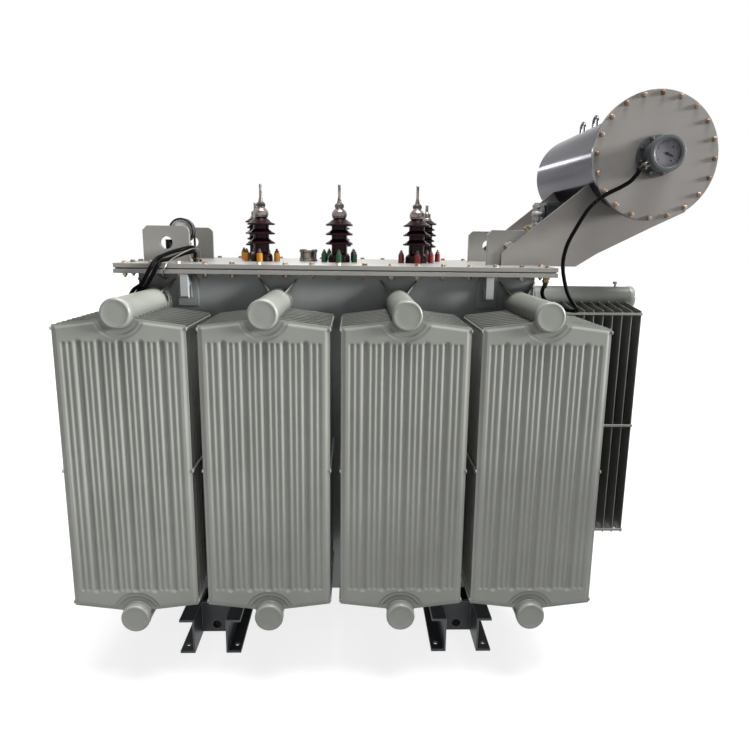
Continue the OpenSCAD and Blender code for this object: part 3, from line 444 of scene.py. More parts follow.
# Both stainless finishes are written dark as a painted reflection of dark surroundings
STAINLESS = rolled_stainless("rolled_stainless", "#4e4e52", "#7a7a7e")
PLATE_STAINLESS = rolled_stainless("stainless_plate", "#6a6a6e", "#707074")
GLAZE = brown_glaze()
ZINC = worn_metal("yellow_zinc", "#b3a08f", "#6b584c", 0.36, 60 * MM, 0.85)
DARK_STEEL = worn_metal("dark_steel", "#5d5650", "#37322f", 0.42, 40 * MM, 0.8)
TINNED_BRASS = worn_metal("tinned_brass", "#9a918d", "#5e5653", 0.3, 22 * MM)
BRASS = worn_metal("gland_brass", "#a58d5c", "#6b5836", 0.34, 25 * MM)
BARE_STEEL = worn_metal("turned_steel", "#99928b", "#6a635c", 0.36, 20 * MM)
BLACK_PLASTIC = moulded("black_plastic", "#161618", "#0f0f10", 0.4, 1.5 * MM, 0.2)
CABLE_JACKET = moulded("cable_jacket", "#050506", "#030304", 0.35, 1.2 * MM, 0.05)
GASKET_RUBBER = moulded("gasket_rubber", "#4f4e4a", "#403f3c", 0.6, 1.5 * MM)
DIAL_CARD = moulded("dial_card", "#86858c", "#7d7c83", 0.5, 0.8 * MM)
WHITE_CARD = moulded("white_dial_card", "#dedad8", "#d2cecc", 0.5, 0.8 * MM)
DIAL_INK = moulded("dial_ink", "#17171a", "#0f0f12", 0.5, 0.8 * MM, 0.2)
CAPILLARY_STEEL = worn_metal("capillary_steel", "#a8a19a", "#857d75", 0.34, 30 * MM)

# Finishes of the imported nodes
NODE_FINISH = {
    "skid_left": SKID_ENAMEL, "skid_right": SKID_ENAMEL, "tank_floor": TANK_ENAMEL,
    "tank_front_wall": TANK_ENAMEL, "tank_rear_wall": TANK_ENAMEL, "tank_left_wall": TANK_ENAMEL,
    "tank_right_wall": TANK_ENAMEL, "tank_flange": COVER_ENAMEL, "pipe_stubs": RADIATOR_ENAMEL,
    "stub_ribs": RADIATOR_ENAMEL, "cover_gasket": GASKET_RUBBER, "tank_cover": COVER_ENAMEL,
    "vent_plug": BARE_STEEL, "hooks_front": TANK_ENAMEL, "hooks_rear": TANK_ENAMEL,
    "lug_front_left": COVER_ENAMEL, "lug_rear_left": COVER_ENAMEL, "lug_front_right": COVER_ENAMEL,
    "lug_rear_right": COVER_ENAMEL, "hv_porcelain": GLAZE, "hv_terminals": TINNED_BRASS,
    "lv_porcelain": GLAZE, "lv_terminals": BARE_STEEL, "clamps_yellow": CLAMP_YELLOW,
    "clamps_green": CLAMP_GREEN, "clamps_red": CLAMP_RED, "tap_changer_head": BARE_STEEL,
    "thermometer_case": BLACK_PLASTIC, "thermometer_dial": WHITE_CARD, "cover_gland": BLACK_PLASTIC,
    "tank_glands": BRASS, "gauge_gland": BARE_STEEL, "conservator_shell": STAINLESS,
    "conservator_front_plate": BRACKET_ENAMEL, "conservator_rear_plate": PLATE_STAINLESS,
    "bracket_front": BRACKET_ENAMEL, "bracket_rear": BRACKET_ENAMEL, "oil_pipe": BRACKET_ENAMEL,
    "relay": RELAY_ENAMEL, "relay_valve": VALVE_ENAMEL, "gauge_body": GAUGE_CASTING,
    "gauge_dial": DIAL_CARD,
}


def dress_nodes():
    for name, material in NODE_FINISH.items():
        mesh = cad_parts[name].data
        mesh.materials.clear()
        mesh.materials.append(material)


# Cables, on the routes of the frame
GAUGE_ROUTE = [
    (1229, -540, 2101), (1219, -541, 2094), (1205, -541, 2070), (1183, -535, 2043), (1149, -522, 2020),
    (1113, -512, 2001), (1077, -507, 1978), (1040, -497, 1941), (1015, -490, 1900), (990, -482, 1849),
    (967, -474, 1796), (955, -468, 1738), (956, -464, 1688), (969, -463, 1628), (988, -466, 1575),
    (1011, -467, 1540), (1033, -456, 1518), (1041, -432, 1506), (1020, -408, 1504), (981, -398, 1516),
    (938, -400, 1530), (906, -408, 1549), (888, -418, 1574), (886, -426, 1598), (893, -430, 1615),
    (895, -430, 1627)]
THERMO_ROUTE = [
    (-690, -189, 1765), (-689, -190, 1757), (-681, -196, 1750), (-668, -208, 1748), (-656, -224, 1750),
    (-651, -244, 1753), (-654, -266, 1755), (-664, -290, 1754), (-677, -314, 1750), (-700, -345, 1742),
    (-714, -375, 1736), (-728, -405, 1729), (-740, -435, 1721), (-751, -460, 1713), (-761, -482, 1699),
    (-769, -496, 1681), (-780, -503, 1661), (-791, -506, 1640), (-812, -508, 1606), (-844, -504, 1584),
    (-866, -490, 1554), (-873, -474, 1524), (-866, -458, 1494), (-850, -456, 1462), (-837, -452, 1432),
    (-830, -440, 1408), (-828, -424, 1397), (-828, -412, 1394)]
SENSOR_ROUTE = [
    (-655, -208, 1710), (-654, -213, 1722), (-653, -226, 1731), (-654, -246, 1735), (-661, -272, 1735),
    (-673, -300, 1731), (-686, -330, 1725), (-699, -358, 1718), (-711, -388, 1711), (-722, -420, 1706),
    (-733, -450, 1703), (-739, -470, 1700), (-744, -484, 1690), (-752, -492, 1672), (-763, -498, 1650),
    (-775, -502, 1628), (-795, -503, 1596), (-826, -500, 1578), (-846, -488, 1551), (-851, -472, 1524),
    (-844, -456, 1496), (-827, -456, 1466), (-813, -452, 1436), (-804, -440, 1410), (-801, -424, 1397),
    (-801, -412, 1394)]
CAPILLARY_ROUTE = [
    (-634, -205, 1700), (-634, -208, 1716), (-633, -222, 1734), (-635, -246, 1746), (-642, -275, 1750),
    (-656, -312, 1745), (-676, -352, 1732), (-692, -395, 1718), (-704, -440, 1703), (-712, -478, 1688),
    (-720, -489, 1668), (-730, -478, 1646), (-738, -445, 1630), (-742, -402, 1624), (-742, -390, 1624)]
CABLE_RADIUS = 8.5 * MM
CAPILLARY_RADIUS = 3 * MM
GLAND_FLATS = 27 * MM
GLAND_HEIGHT = 9 * MM
TIE_SHARES = (0.255, 0.27)


def smooth_route(route, steps=6):
    """The route in metres, on a smooth curve through its points."""
    p = [Vector(q) * MM for q in route]
    line = []
    for i in range(len(p) - 1):
        a, b, c, d = p[max(i - 1, 0)], p[i], p[i + 1], p[min(i + 2, len(p) - 1)]
        for k in range(steps):
            t = k / steps
            line.append(0.5 * (2 * b + (c - a) * t + (2 * a - 5 * b + 4 * c - d) * t * t
                               + (3 * b - 3 * c + d - a) * t * t * t))
    return line + [p[-1]]


def cable(name, route, radius, material, node):
    line = smooth_route(route)
    curve = bpy.data.curves.new(name, "CURVE")
    curve.dimensions = "3D"
    curve.bevel_depth = radius
    curve.bevel_resolution = 4
    curve.use_fill_caps = True
    spline = curve.splines.new("POLY")
    spline.points.add(len(line) - 1)
    for point, place in zip(spline.points, line):
        point.co = (*place, 1)
    spline.use_smooth = True
    curve.materials.append(material)
    made = bpy.data.objects.new(name, curve)
    bpy.context.scene.collection.objects.link(made)
    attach(made, "root")
    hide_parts(node)


def make_cables():
    cable("gauge_lead", GAUGE_ROUTE, CABLE_RADIUS, CABLE_JACKET, "gauge_cable")
    cable("thermometer_lead", THERMO_ROUTE, CABLE_RADIUS, CABLE_JACKET,
          "thermometer_cable")
    cable("sensor_lead", SENSOR_ROUTE, CABLE_RADIUS, CABLE_JACKET, "sensor_cable")
    cable("capillary", CAPILLARY_ROUTE, CAPILLARY_RADIUS, CAPILLARY_STEEL,
          "capillary_tube")


def cable_fittings():
    """Tapered boots and hexagon glands where the cables enter, and two ties on the gauge's cable."""
    boots = Shape()
    nuts = Shape()
    gauge_nut = Shape()
    for route in (GAUGE_ROUTE, THERMO_ROUTE, SENSOR_ROUTE):
        line = smooth_route(route)
        for end, inward in ((line[0], line[1]), (line[-1], line[-2])):
            out = (inward - end).normalized()
            boots.add(*lathe([(11.5 * MM, -1 * MM), (11.5 * MM, 5 * MM), (10 * MM, 12 * MM),
                              (9.2 * MM, 24 * MM), (8.7 * MM, 25 * MM)], 24), frame_at(end, out))
            at_gauge = route is GAUGE_ROUTE and end == line[0]
            gland = gauge_nut if at_gauge else nuts
            gland.add(*hexagon(GLAND_FLATS, GLAND_HEIGHT), frame_at(end - out * GLAND_HEIGHT, out))
    piece("cable_boots", boots, BLACK_PLASTIC)
    piece("gland_nuts", nuts, BRASS)
    piece("gauge_gland_nut", gauge_nut, BARE_STEEL)
    line = smooth_route(GAUGE_ROUTE)
    ties = Shape()
    band = ring([(8.6 * MM, -3 * MM), (10.2 * MM, -3 * MM), (10.2 * MM, 3 * MM), (8.6 * MM, 3 * MM)], 24)
    for share in TIE_SHARES:
        i = int(share * len(line))
        ties.add(*band, frame_at(line[i], (line[i + 1] - line[i]).normalized()))
    piece("cable_ties", ties, BLACK_PLASTIC)


# Radiators
def top_edge(x):
    return PANEL_TOP + PANEL_GABLE * (1 - 2 * abs(x) / PANEL_WIDTH)


def bottom_edge(x):
    return PANEL_BOTTOM - PANEL_GABLE * (1 - 2 * abs(x) / PANEL_WIDTH)


def ease(t):
    t = min(max(t, 0.0), 1.0)
    return t * t * (3 - 2 * t)


def press(x, z):
    """Height of the pressed face over the panel's middle plane."""
    slope = hypot(1, 2 * PANEL_GABLE / PANEL_WIDTH)
    inset = min(PANEL_WIDTH / 2 - abs(x), (top_edge(x) - z) / slope, (z - bottom_edge(x)) / slope)
    body = ease((inset - RIM_FLAT) / (RIM_WIDTH - RIM_FLAT))
    height = RIM_HALF + (PANEL_HALF - RIM_HALF) * body
    for places, half, depth, longer in ((WIDE_FLUTES, WIDE_HALF, WIDE_DEPTH, WIDE_LONGER),
                                        (FINE_FLUTES, FINE_HALF, FINE_DEPTH, FINE_LONGER)):
        low = PANEL_BOTTOM + FLUTE_MARGIN - longer + half
        high = PANEL_TOP - FLUTE_MARGIN + longer - half
        past = max(z - high, low - z, 0)
        off = min(hypot(x - place, past) for place in places)
        height -= depth * ease(1 - off / half)
    for centre in (HEADER_LOW, HEADER_HIGH):
        r = hypot(x, z - centre)
        for radius in RING_RADII:
            height -= RING_DEPTH * ease((radius + RING_LEAD - r) / RING_BLEND) * body
    return height


def row_places():
    """Offsets of the grid rows from a panel's upper or lower edge: close there, wide in the middle."""
    near = [0, 3, 6, 8, 10, 12, 14, 16, 18, 21]
    far = [21 + 2.5 * i for i in range(1, 41)]
    return [v * MM for v in near + far]


def pressed_face(u):
    """The fluted outer face at u, as a grid that follows the panel's outline."""
    count = int(round(PANEL_WIDTH / GRID_STEP))
    columns = [-PANEL_WIDTH / 2 + i * GRID_STEP for i in range(count + 1)]
    offsets = row_places()
    middle = 10
    rows = []
    for o in offsets:
        rows.append([(x, bottom_edge(x) + o) for x in columns])
    for i in range(1, middle):
        t = i / middle
        rows.append([(x, (bottom_edge(x) + offsets[-1]) * (1 - t) + (top_edge(x) - offsets[-1]) * t)
                     for x in columns])
    for o in reversed(offsets):
        rows.append([(x, top_edge(x) - o) for x in columns])
    return skin([[(x, u + press(x, z), z) for x, z in row] for row in rows])


def outline(inset, u):
    """The panel's peaked outline at u, drawn in by the inset."""
    w = PANEL_WIDTH / 2 - inset
    return [(-w, u, PANEL_BOTTOM + inset), (0, u, PANEL_BOTTOM - PANEL_GABLE + inset),
            (w, u, PANEL_BOTTOM + inset), (w, u, PANEL_TOP - inset),
            (0, u, PANEL_TOP + PANEL_GABLE - inset), (-w, u, PANEL_TOP - inset)]


def plain_panel(u, front=True):
    """A panel with its welded rim and pressed body, open in front where the fluted face closes it."""
    half = [(RIM_WIDTH, -PANEL_HALF), (RIM_WIDTH - RIM_BEND, -RIM_HALF), (0, -RIM_HALF), (0, RIM_HALF)]
    rest = [(RIM_WIDTH - RIM_BEND, RIM_HALF), (RIM_WIDTH, PANEL_HALF)]
    rings = half + (rest if front else [])
    points, faces = skin([outline(i, u + h) for i, h in rings], wrap=True)
    faces.append((5, 4, 3, 2, 1, 0))
    if front:
        last = 6 * (len(rings) - 1)
        faces.append(tuple(range(last, last + 6)))
    return points, faces


def header_profile(start, length):
    """Pipe and cap along one header, from its welded joint to the cap's face."""
    pipe = HEADER_RADIUS
    cap = CAP_RADIUS
    end = start + length
    return [(pipe - 1 * MM, start), (pipe, start + 1 * MM), (pipe, end - CAP_LENGTH - 3 * MM),
            (cap - 0.5 * MM, end - CAP_LENGTH), (cap, end - CAP_LENGTH + 2 * MM),
            (cap, end - 8 * MM), (cap - 1.2 * MM, end - 4 * MM), (cap - 4 * MM, end - 1.2 * MM),
            (cap - 8 * MM, end), (cap - 11 * MM, end - 0.8 * MM), (cap - 13 * MM, end - 1.2 * MM),
            (cap - 30 * MM, end - 1 * MM), (2 * MM, end - 1 * MM)]


def tie_bar(x, u0, u1, z):
    """A tie strip over the panel edges, its ends rounded off."""
    w = 3.5 * MM
    h = 6 * MM
    c = 1.5 * MM
    rows = []
    for u, shrink in ((u0, 0.6), (u0 + 2 * MM, 1), (u1 - 2 * MM, 1), (u1, 0.6)):
        a = w * shrink
        b = h * shrink
        section = [(c - a, -b), (a - c, -b), (a, c - b), (a, b - c),
                   (a - c, b), (c - a, b), (-a, b - c), (-a, c - b)]
        rows.append([(x + across, u, z + up) for across, up in section])
    points, faces = skin(rows, wrap=True)
    faces.append((7, 6, 5, 4, 3, 2, 1, 0))
    faces.append(tuple(range(24, 32)))
    return points, faces


def weld_arc(u, z, toward):
    """The weld between a panel and the half of a header that it meets."""
    reach = HEADER_RADIUS + 1.5 * MM
    middle = -pi / 2 if toward < 0 else pi / 2
    path = [(reach * cos(middle + a), u, z + reach * sin(middle + a)) for a in np.linspace(-1.25, 1.25, 19)]
    return tube(path, 4.5 * MM, 6)


def radiator(name, matrix, start, reach, proud):
    """One radiator in the frame of its tank side: panels, headers, ties and welds."""
    s = Shape()
    inner = reach - (PANEL_COUNT - 1) * PANEL_PITCH
    for k in range(PANEL_COUNT - 1):
        s.add(*plain_panel(inner + k * PANEL_PITCH), matrix)
    s.add(*plain_panel(reach, front=False), matrix)
    s.add(*pressed_face(reach), matrix)
    for z, toward in ((HEADER_LOW, 1), (HEADER_HIGH, -1)):
        turn = Matrix.Translation((0, 0, z)) @ Matrix.Rotation(-pi / 2, 4, "X")
        s.add(*lathe(header_profile(start, reach + proud - start), 48), matrix @ turn)
        for k in range(PANEL_COUNT):
            s.add(*weld_arc(inner + k * PANEL_PITCH, z, toward), matrix)
    for side in (-1, 1):
        x = side * (PANEL_WIDTH / 2 + RIM_HALF)
        for z in (PANEL_BOTTOM + TIE_INSET, (PANEL_BOTTOM + PANEL_TOP) / 2, PANEL_TOP - TIE_INSET):
            s.add(*tie_bar(x, inner - TIE_PAST, reach + TIE_PAST, z), matrix)
    made = piece(name + "_dressed", s, RADIATOR_ENAMEL, 32)
    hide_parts(name)


def place_of(i, turn):
    """The frame of a front or rear radiator."""
    return Matrix.Translation(((i - 1.5) * RADIATOR_PITCH, 0, 0)) @ Matrix.Rotation(turn, 4, "Z")


def make_radiators():
    start = TANK_WIDTH / 2 + STUB_LENGTH
    reach = TANK_WIDTH / 2 + PANEL_REACH
    for i in range(4):
        radiator(f"radiator_front_{i + 1}", place_of(i, pi), start, reach, CAP_PROUD)
        radiator(f"radiator_rear_{i + 1}", place_of(i, 0), start, reach, CAP_PROUD)
    end_reach = TANK_LENGTH / 2 + END_PANEL_REACH
    end_start = end_reach - (reach - start)
    matrix = Matrix.Rotation(-pi / 2, 4, "Z")
    radiator("radiator_end", matrix, end_start, end_reach, END_CAP_PROUD)


def weld_ring(radius, thickness):
    """A rippled weld all round a pipe."""
    turns = np.linspace(0, 2 * pi, 61)
    path = [(radius * cos(a), radius * sin(a), 0) for a in turns]
    return tube(path, [thickness * (1.0 if i % 2 else 0.8) for i in range(len(turns))], 6)


def pipe_welds():
    """Welds where each header meets its stub, and where the stub meets the tank."""
    s = Shape()
    places = [(place_of(i, t), TANK_WIDTH / 2) for i in range(4) for t in (0, pi)]
    places.append((Matrix.Rotation(-pi / 2, 4, "Z"), TANK_LENGTH / 2))
    for matrix, wall in places:
        joint = wall + STUB_LENGTH
        if wall > TANK_WIDTH / 2:
            joint += END_PANEL_REACH - PANEL_REACH
        for z in (HEADER_LOW, HEADER_HIGH):
            s.add(*weld_ring(HEADER_RADIUS + 1 * MM, 3.5 * MM), matrix @ frame_at((0, joint, z), (0, 1, 0)))
            s.add(*weld_ring(HEADER_RADIUS + 2 * MM, 5 * MM), matrix @ frame_at((0, wall, z), (0, 1, 0)))
    piece("pipe_welds", s, RADIATOR_ENAMEL)


# Cover bolts
def cover_bolts():
    """Bolts round the cover, with nuts under the tank flange."""
    s = Shape()
    head = bolt(19 * MM, 8 * MM, 13 * MM, 2 * MM)
    nut = bolt(19 * MM, 10 * MM, 13 * MM, 2 * MM, 7 * MM)
    half_x = cover_high.x - COVER_BOLT_INSET
    half_y = cover_high.y - COVER_BOLT_INSET
    spots = []
    for i in range(COVER_BOLTS_ALONG + 1):
        x = -half_x + 2 * half_x * i / COVER_BOLTS_ALONG
        spots += [(x, -half_y), (x, half_y)]
    for i in range(1, COVER_BOLTS_ACROSS):
        y = -half_y + 2 * half_y * i / COVER_BOLTS_ACROSS
        spots += [(-half_x, y), (half_x, y)]
    for n, (x, y) in enumerate(spots):
        s.add(head.points, head.faces, frame_at((x, y, COVER_TOP), (0, 0, 1), 0.7 * n))
        s.add(nut.points, nut.faces, frame_at((x, y, FLANGE_BOTTOM), (0, 0, -1), 0.5 * n))
    piece("cover_bolts", s, ZINC)


# Conservator
def end_plate_bolts():
    """Bolts round the conservator's end plate, with nuts behind its flange."""
    s = Shape()
    head = bolt(17 * MM, 8 * MM, 10.5 * MM, 2 * MM, 4 * MM)
    nut = bolt(17 * MM, 10 * MM, 10.5 * MM, 2 * MM, 6 * MM)
    circle = PLATE_RADIUS - PLATE_BOLT_INSET
    back = plate_high.y + (plate_high.y - plate_low.y)
    for k in range(PLATE_BOLTS):
        a = radians(FIRST_PLATE_BOLT - 360 / PLATE_BOLTS * k)
        x = CONSERVATOR_X + circle * cos(a)
        z = CONSERVATOR_Z + circle * sin(a)
        s.add(head.points, head.faces, frame_at((x, plate_low.y, z), (0, -1, 0), a))
        s.add(nut.points, nut.faces, frame_at((x, back, z), (0, 1, 0), a))
    piece("end_plate_bolts", s, ZINC)


def dial_marks(centre, radius, count, sweep, start, long_every, thickness):
    """Tick marks round a dial face that looks towards -Y."""
    s = Shape()
    for i in range(count + 1):
        a = radians(start - sweep * i / count)
        long = i % long_every == 0
        r0 = radius * (0.72 if long else 0.79)
        r1 = radius * 0.88
        w = thickness * (1.0 if long else 0.6)
        out = Vector((cos(a), 0, sin(a)))
        side = Vector((-sin(a), 0, cos(a))) * w
        low = [centre + p for p in (out * r0 - side, out * r1 - side, out * r1 + side, out * r0 + side)]
        high = [p + Vector((0, -0.6 * MM, 0)) for p in low]
        s.add(low + high, [(3, 2, 1, 0), (4, 5, 6, 7), (0, 1, 5, 4),
                           (1, 2, 6, 5), (2, 3, 7, 6), (3, 0, 4, 7)])
    return s


def pointer(centre, angle, length, width):
    """A tapered needle with a short tail and a domed hub, towards -Y."""
    s = Shape()
    out = Vector((cos(angle), 0, sin(angle)))
    side = Vector((-sin(angle), 0, cos(angle)))
    lift = Vector((0, -1.2 * MM, 0))
    flat = [out * -0.25 * length + side * width * 0.8, out * -0.25 * length - side * width * 0.8,
            out * 0.55 * length - side * width, out * length, out * 0.55 * length + side * width]
    low = [centre + lift + p for p in flat]
    high = [p + Vector((0, -1 * MM, 0)) for p in low]
    n = len(flat)
    walls = [(i, (i + 1) % n, n + (i + 1) % n, n + i) for i in range(n)]
    s.add(low + high, [tuple(range(n - 1, -1, -1)), tuple(range(n, 2 * n))] + walls)
    hub = [(2.2 * width, 0), (2.2 * width, 2 * MM), (1.4 * width, 3.4 * MM), (0.5 * width, 4 * MM)]
    s.add(*lathe(hub, 24), frame_at(centre, (0, -1, 0)))
    return s


def level_gauge():
    """The gauge's turned bezel, printed dial, needle and base bolts."""
    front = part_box("gauge_body")[0].y
    centre = Vector((CONSERVATOR_X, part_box("gauge_dial")[0].y, CONSERVATOR_Z))
    inner = BEZEL_RADIUS - BEZEL_WIDTH
    rim = Shape()
    rim.add(*ring([(inner - 1 * MM, 1 * MM), (inner - 1 * MM, -4 * MM), (inner + 3 * MM, -4 * MM),
                   (inner + 5 * MM, -6.5 * MM), (inner + 10 * MM, -7 * MM), (inner + 17 * MM, -5 * MM),
                   (inner + 19 * MM, 0), (inner + 19 * MM, 10 * MM), (inner + 17.5 * MM, 12 * MM),
                   (inner + 17.5 * MM, 1 * MM)], 64),
            frame_at((CONSERVATOR_X, front, CONSERVATOR_Z), (0, 1, 0)))
    piece("gauge_bezel", rim, GAUGE_CASTING)
    marks = dial_marks(centre, inner, 20, 250, 215, 5, 1.1 * MM)
    screw = lathe([(3.4 * MM, 0), (3.4 * MM, 0.8 * MM), (2.8 * MM, 1.2 * MM)], 16)
    for angle in (48, -58):
        a = radians(angle)
        spot = centre + Vector((cos(a), 0, sin(a))) * inner * 0.62
        marks.add(*screw, frame_at(spot, (0, -1, 0)))
    needle = pointer(centre, radians(-25), inner * 0.66, 2.4 * MM)
    marks.add(needle.points, needle.faces)
    piece("gauge_marks", marks, DIAL_INK)
    bolts = Shape()
    head = bolt(15 * MM, 7 * MM, 9.5 * MM, 1.5 * MM, 2 * MM)
    circle = BEZEL_RADIUS + 1 * MM
    for k in range(GAUGE_BOLTS):
        a = (k + 0.5) * 2 * pi / GAUGE_BOLTS
        place = (CONSERVATOR_X + circle * cos(a), plate_low.y - GAUGE_BASE, CONSERVATOR_Z + circle * sin(a))
        bolts.add(head.points, head.faces, frame_at(place, (0, -1, 0), a))
    piece("gauge_base_bolts", bolts, DARK_STEEL)


# Cover fittings
def thermometer():
    """The thermometer's printed dial, needle and rim."""
    low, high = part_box("thermometer_dial")
    centre = Vector(((low.x + high.x) / 2, low.y, (low.z + high.z) / 2))
    radius = (high.x - low.x) / 2
    marks = dial_marks(centre, radius, 24, 270, 225, 4, 0.9 * MM)
    needle = pointer(centre, radians(150), radius * 0.62, 1.8 * MM)
    marks.add(needle.points, needle.faces)
    piece("thermometer_marks", marks, DIAL_INK)
    rim = Shape()
    rim.add(*ring([(radius - 1.5 * MM, 2 * MM), (radius - 1.5 * MM, -1 * MM), (radius + 1 * MM, -3 * MM),
                   (radius + 4 * MM, -3 * MM), (radius + 6 * MM, -1 * MM), (radius + 6 * MM, 9 * MM),
                   (radius + 5.2 * MM, 9 * MM), (radius + 5.2 * MM, 0.5 * MM)], 64),
            frame_at((centre.x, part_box("thermometer_case")[0].y, centre.z), (0, 1, 0)))
    piece("thermometer_rim", rim, BLACK_PLASTIC)


def bushing_fittings():
    """Nuts on the terminals, and the clamp bolts in the coloured pots."""
    nuts = Shape()
    pots = Shape()
    clamp = bolt(17 * MM, 9 * MM, 11 * MM, 2 * MM, 9 * MM)
    for i in (-1, 0, 1):
        hv = Vector((i * HV_PITCH + HV_SHIFT, HV_ROW, COVER_TOP))
        lv = Vector((i * LV_PITCH, LV_ROW, COVER_TOP))
        hv_nut = hv + Vector((0, 0, HV_PORCELAIN + HV_NUT_RISE))
        lv_nut = lv + Vector((0, 0, LV_PORCELAIN + LV_NUT_RISE))
        nuts.add(*hexagon(38 * MM, 14 * MM), Matrix.Translation(hv_nut))
        nuts.add(*hexagon(34 * MM, 12 * MM), Matrix.Translation(lv_nut))
        for base, reach in ((hv, HV_POT_RADIUS), (lv, LV_POT_RADIUS)):
            for k in range(4):
                a = k * pi / 2
                spot = base + Vector((reach * cos(a), reach * sin(a), POT_HEIGHT))
                pots.add(clamp.points, clamp.faces, frame_at(spot, (0, 0, 1), a))
    piece("terminal_nuts", nuts, DARK_STEEL)
    piece("clamp_bolts", pots, DARK_STEEL)


# Welds
def welds():
    """Fillet beads along the welded plates."""
    s = Shape()
    for name in ("lug_front_left", "lug_rear_left", "lug_front_right", "lug_rear_right"):
        low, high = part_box(name)
        for y in (low.y, high.y):
            s.add(*bead((low.x, y, COVER_TOP), (high.x, y, COVER_TOP), 4 * MM))
    for name in ("bracket_front", "bracket_rear"):
        low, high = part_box(name)
        for y in (low.y, high.y):
            s.add(*bead((low.x, y, COVER_TOP), (BRACKET_FOOT_END, y, COVER_TOP), 3.5 * MM))
    piece("cover_welds", s, COVER_ENAMEL)
    t = Shape()
    for y in (-TANK_WIDTH / 2, TANK_WIDTH / 2):
        t.add(*bead((-TANK_LENGTH / 2, y, FLANGE_BOTTOM), (TANK_LENGTH / 2, y, FLANGE_BOTTOM), 4 * MM))
    for x in (-TANK_LENGTH / 2, TANK_LENGTH / 2):
        t.add(*bead((x, -TANK_WIDTH / 2, FLANGE_BOTTOM), (x, TANK_WIDTH / 2, FLANGE_BOTTOM), 4 * MM))
        for y in (-TANK_WIDTH / 2, TANK_WIDTH / 2):
            t.add(*bead((x, y, TANK_BOTTOM), (x, y, FLANGE_BOTTOM), 4 * MM, 14 * MM))
    piece("tank_welds", t, TANK_ENAMEL)


# Oil pipe couplings
def oil_pipe_fittings():
    """Two brass unions on the sloping oil pipe."""
    along = (OIL_PIPE_ELBOW - OIL_PIPE_FOOT).normalized()
    brass = Shape()
    for share in (0.76, 0.82):
        brass.add(*hexagon(51 * MM, 9 * MM), frame_at(OIL_PIPE_FOOT.lerp(OIL_PIPE_ELBOW, share), along))
    piece("pipe_couplings", brass, BRASS)


# Studio
def seen_ray(tree):
    """1 for rays from the camera, a mirror or glass, and 0 for light on its way to a surface."""
    path = add(tree, "ShaderNodeLightPath")
    mirror = add(tree, "ShaderNodeMath", {0: path.outputs["Is Glossy Ray"],
                                          1: path.outputs["Is Transmission Ray"]}, operation="MAXIMUM")
    seen = add(tree, "ShaderNodeMath", {0: path.outputs["Is Camera Ray"], 1: mirror.outputs[0]},
               operation="MAXIMUM")
    return seen.outputs[0]


# Name, way to the lamp, spread in degrees and strength
SUNS = (("high_sun", (0.15, -0.14, 0.98), 30, 4.7),
        ("side_sun", (0.955, -0.20, 0.205), 14, 6.2))
# Name, place, aim, width, height and power
AREA_LAMPS = (("streak_lamp", (-0.3, 5.0, 3.17), (1.3, 0, 2.15), 1.1, 0.2, 7),
              ("low_fill", (0, -1.75, 0.5), (0, 0, 0.5), 6.0, 0.3, 5.0))
AMBIENT = 0.155
FLAG_PLACE = 3
FLAG_HALF = 6
FLAG_LOW = 0.25
FLAG_TOP = 1.48
FLOOR_HALF = 40
FLOOR_GLOW = 0.82
SKID_PLACE = 555 * MM
SKID_HOLLOW = 66 * MM
SKID_PLATE = 485 * MM


def studio_sheet(name, corners, material):
    """A flat sheet that belongs to the studio and not to the part."""
    mesh = bpy.data.meshes.new(name)
    mesh.from_pydata(corners, [], [(0, 1, 2, 3)])
    mesh.materials.append(material)
    made = bpy.data.objects.new(name, mesh)
    bpy.context.scene.collection.objects.link(made)
    return made


def light_world():
    """Soft light from all round, and a white background where a ray from the eye meets it."""
    world = bpy.data.worlds.new("studio")
    bpy.context.scene.world = world
    world.use_nodes = True
    tree = world.node_tree
    tree.nodes.clear()
    ambient = add(tree, "ShaderNodeBackground", {"Color": linear("#f4f7fb"), "Strength": AMBIENT})
    white = add(tree, "ShaderNodeBackground", {"Color": (1, 1, 1, 1), "Strength": 1.0})
    mixed = add(tree, "ShaderNodeMixShader", {0: seen_ray(tree), 1: ambient.outputs[0], 2: white.outputs[0]})
    add(tree, "ShaderNodeOutputWorld", {"Surface": mixed.outputs[0]})


def hang_lamps():
    """Light from above and from the right, a streak for the shell, and a fill along the foot."""
    scene = bpy.context.scene
    for name, out, spread, strength in SUNS:
        lamp = bpy.data.lights.new(name, "SUN")
        lamp.angle = radians(spread)
        lamp.energy = strength
        made = bpy.data.objects.new(name, lamp)
        made.matrix_world = frame_at((0, 0, 6), out)
        scene.collection.objects.link(made)
    for name, place, aim, wide, tall, power in AREA_LAMPS:
        lamp = bpy.data.lights.new(name, "AREA")
        lamp.shape = "RECTANGLE"
        lamp.size = wide
        lamp.size_y = tall
        lamp.energy = power
        made = bpy.data.objects.new(name, lamp)
        made.matrix_world = frame_at(place, Vector(place) - Vector(aim))
        made.visible_camera = False
        made.visible_glossy = name == "streak_lamp"
        scene.collection.objects.link(made)


def hang_flag():
    """A black cloth on the right that keeps the low side light off the foot of the radiators."""
    material, tree = new_material("black_cloth")
    cloth = add(tree, "ShaderNodeBsdfDiffuse", {"Color": linear("#101010")})
    finish_material(tree, cloth.outputs[0])
    corners = [(FLAG_PLACE, -FLAG_HALF, FLAG_LOW), (FLAG_PLACE, FLAG_HALF, FLAG_LOW),
               (FLAG_PLACE, FLAG_HALF, FLAG_TOP), (FLAG_PLACE, -FLAG_HALF, FLAG_TOP)]
    flag = studio_sheet("flag", corners, material)
    flag.visible_camera = False
    flag.visible_glossy = False
    flag.visible_transmission = False


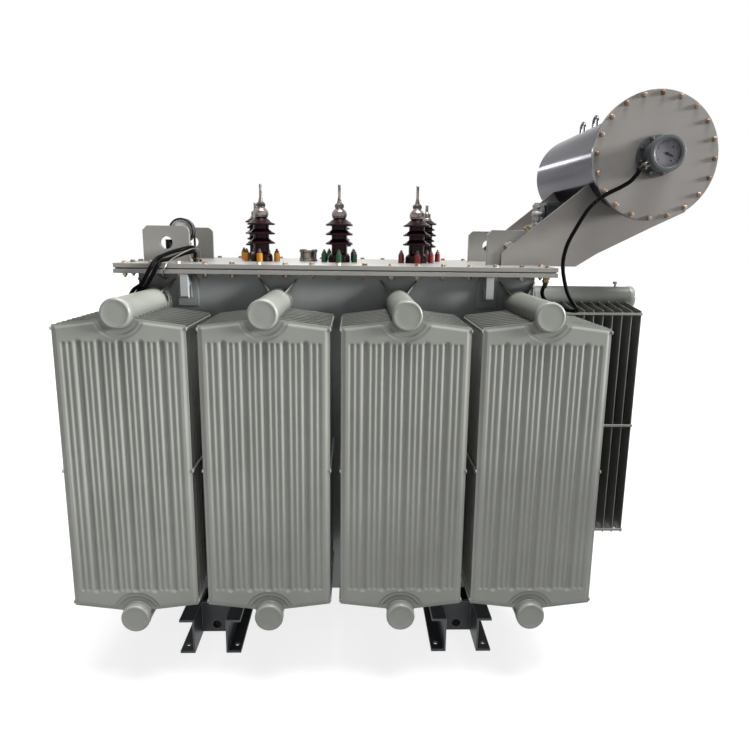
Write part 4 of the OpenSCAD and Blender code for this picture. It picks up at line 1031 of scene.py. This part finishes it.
def lay_floor():
    """A floor that looks white, keeps the part's shadow, and has a painted shadow between the channels of
    each skid.
    """
    material, tree = new_material("studio_floor")
    paper = add(tree, "ShaderNodeBsdfDiffuse", {"Color": linear("#8c8c8c")})
    dark = add(tree, "ShaderNodeEmission", {"Color": (0, 0, 0, 1), "Strength": 0.0})
    # Painted shadow: the floor's glow is taken away between the channels of each skid, under the tank
    where = add(tree, "ShaderNodeNewGeometry").outputs["Position"]
    part = add(tree, "ShaderNodeSeparateXYZ", {0: where})
    side = add(tree, "ShaderNodeMath", {0: part.outputs[0]}, operation="ABSOLUTE")
    inside = add(tree, "ShaderNodeMath", {0: side.outputs[0], 1: SKID_PLACE, 2: SKID_HOLLOW},
                 operation="COMPARE")
    deep = add(tree, "ShaderNodeMath", {0: part.outputs[1], 1: 0.0, 2: SKID_PLATE}, operation="COMPARE")
    shade = add(tree, "ShaderNodeMath", {0: inside.outputs[0], 1: deep.outputs[0]}, operation="MULTIPLY")
    level = add(tree, "ShaderNodeMapRange", {"Value": shade.outputs[0], "To Min": FLOOR_GLOW, "To Max": 0.0})
    lift = add(tree, "ShaderNodeEmission", {"Color": (1, 1, 1, 1), "Strength": level.outputs[0]})
    shown = add(tree, "ShaderNodeMixShader", {0: seen_ray(tree), 1: dark.outputs[0], 2: lift.outputs[0]})
    both = add(tree, "ShaderNodeAddShader", {0: paper.outputs[0], 1: shown.outputs[0]})
    finish_material(tree, both.outputs[0])
    corners = [(-FLOOR_HALF, -FLOOR_HALF, 0), (FLOOR_HALF, -FLOOR_HALF, 0),
               (FLOOR_HALF, FLOOR_HALF, 0), (-FLOOR_HALF, FLOOR_HALF, 0)]
    studio_sheet("floor", corners, material)


def studio():
    bpy.context.scene.view_settings.view_transform = "Standard"
    light_world()
    hang_lamps()
    hang_flag()
    lay_floor()


set_camera()
make_cables()
dress_nodes()
cable_fittings()
make_radiators()
pipe_welds()
cover_bolts()
end_plate_bolts()
level_gauge()
thermometer()
bushing_fittings()
welds()
oil_pipe_fittings()
studio()
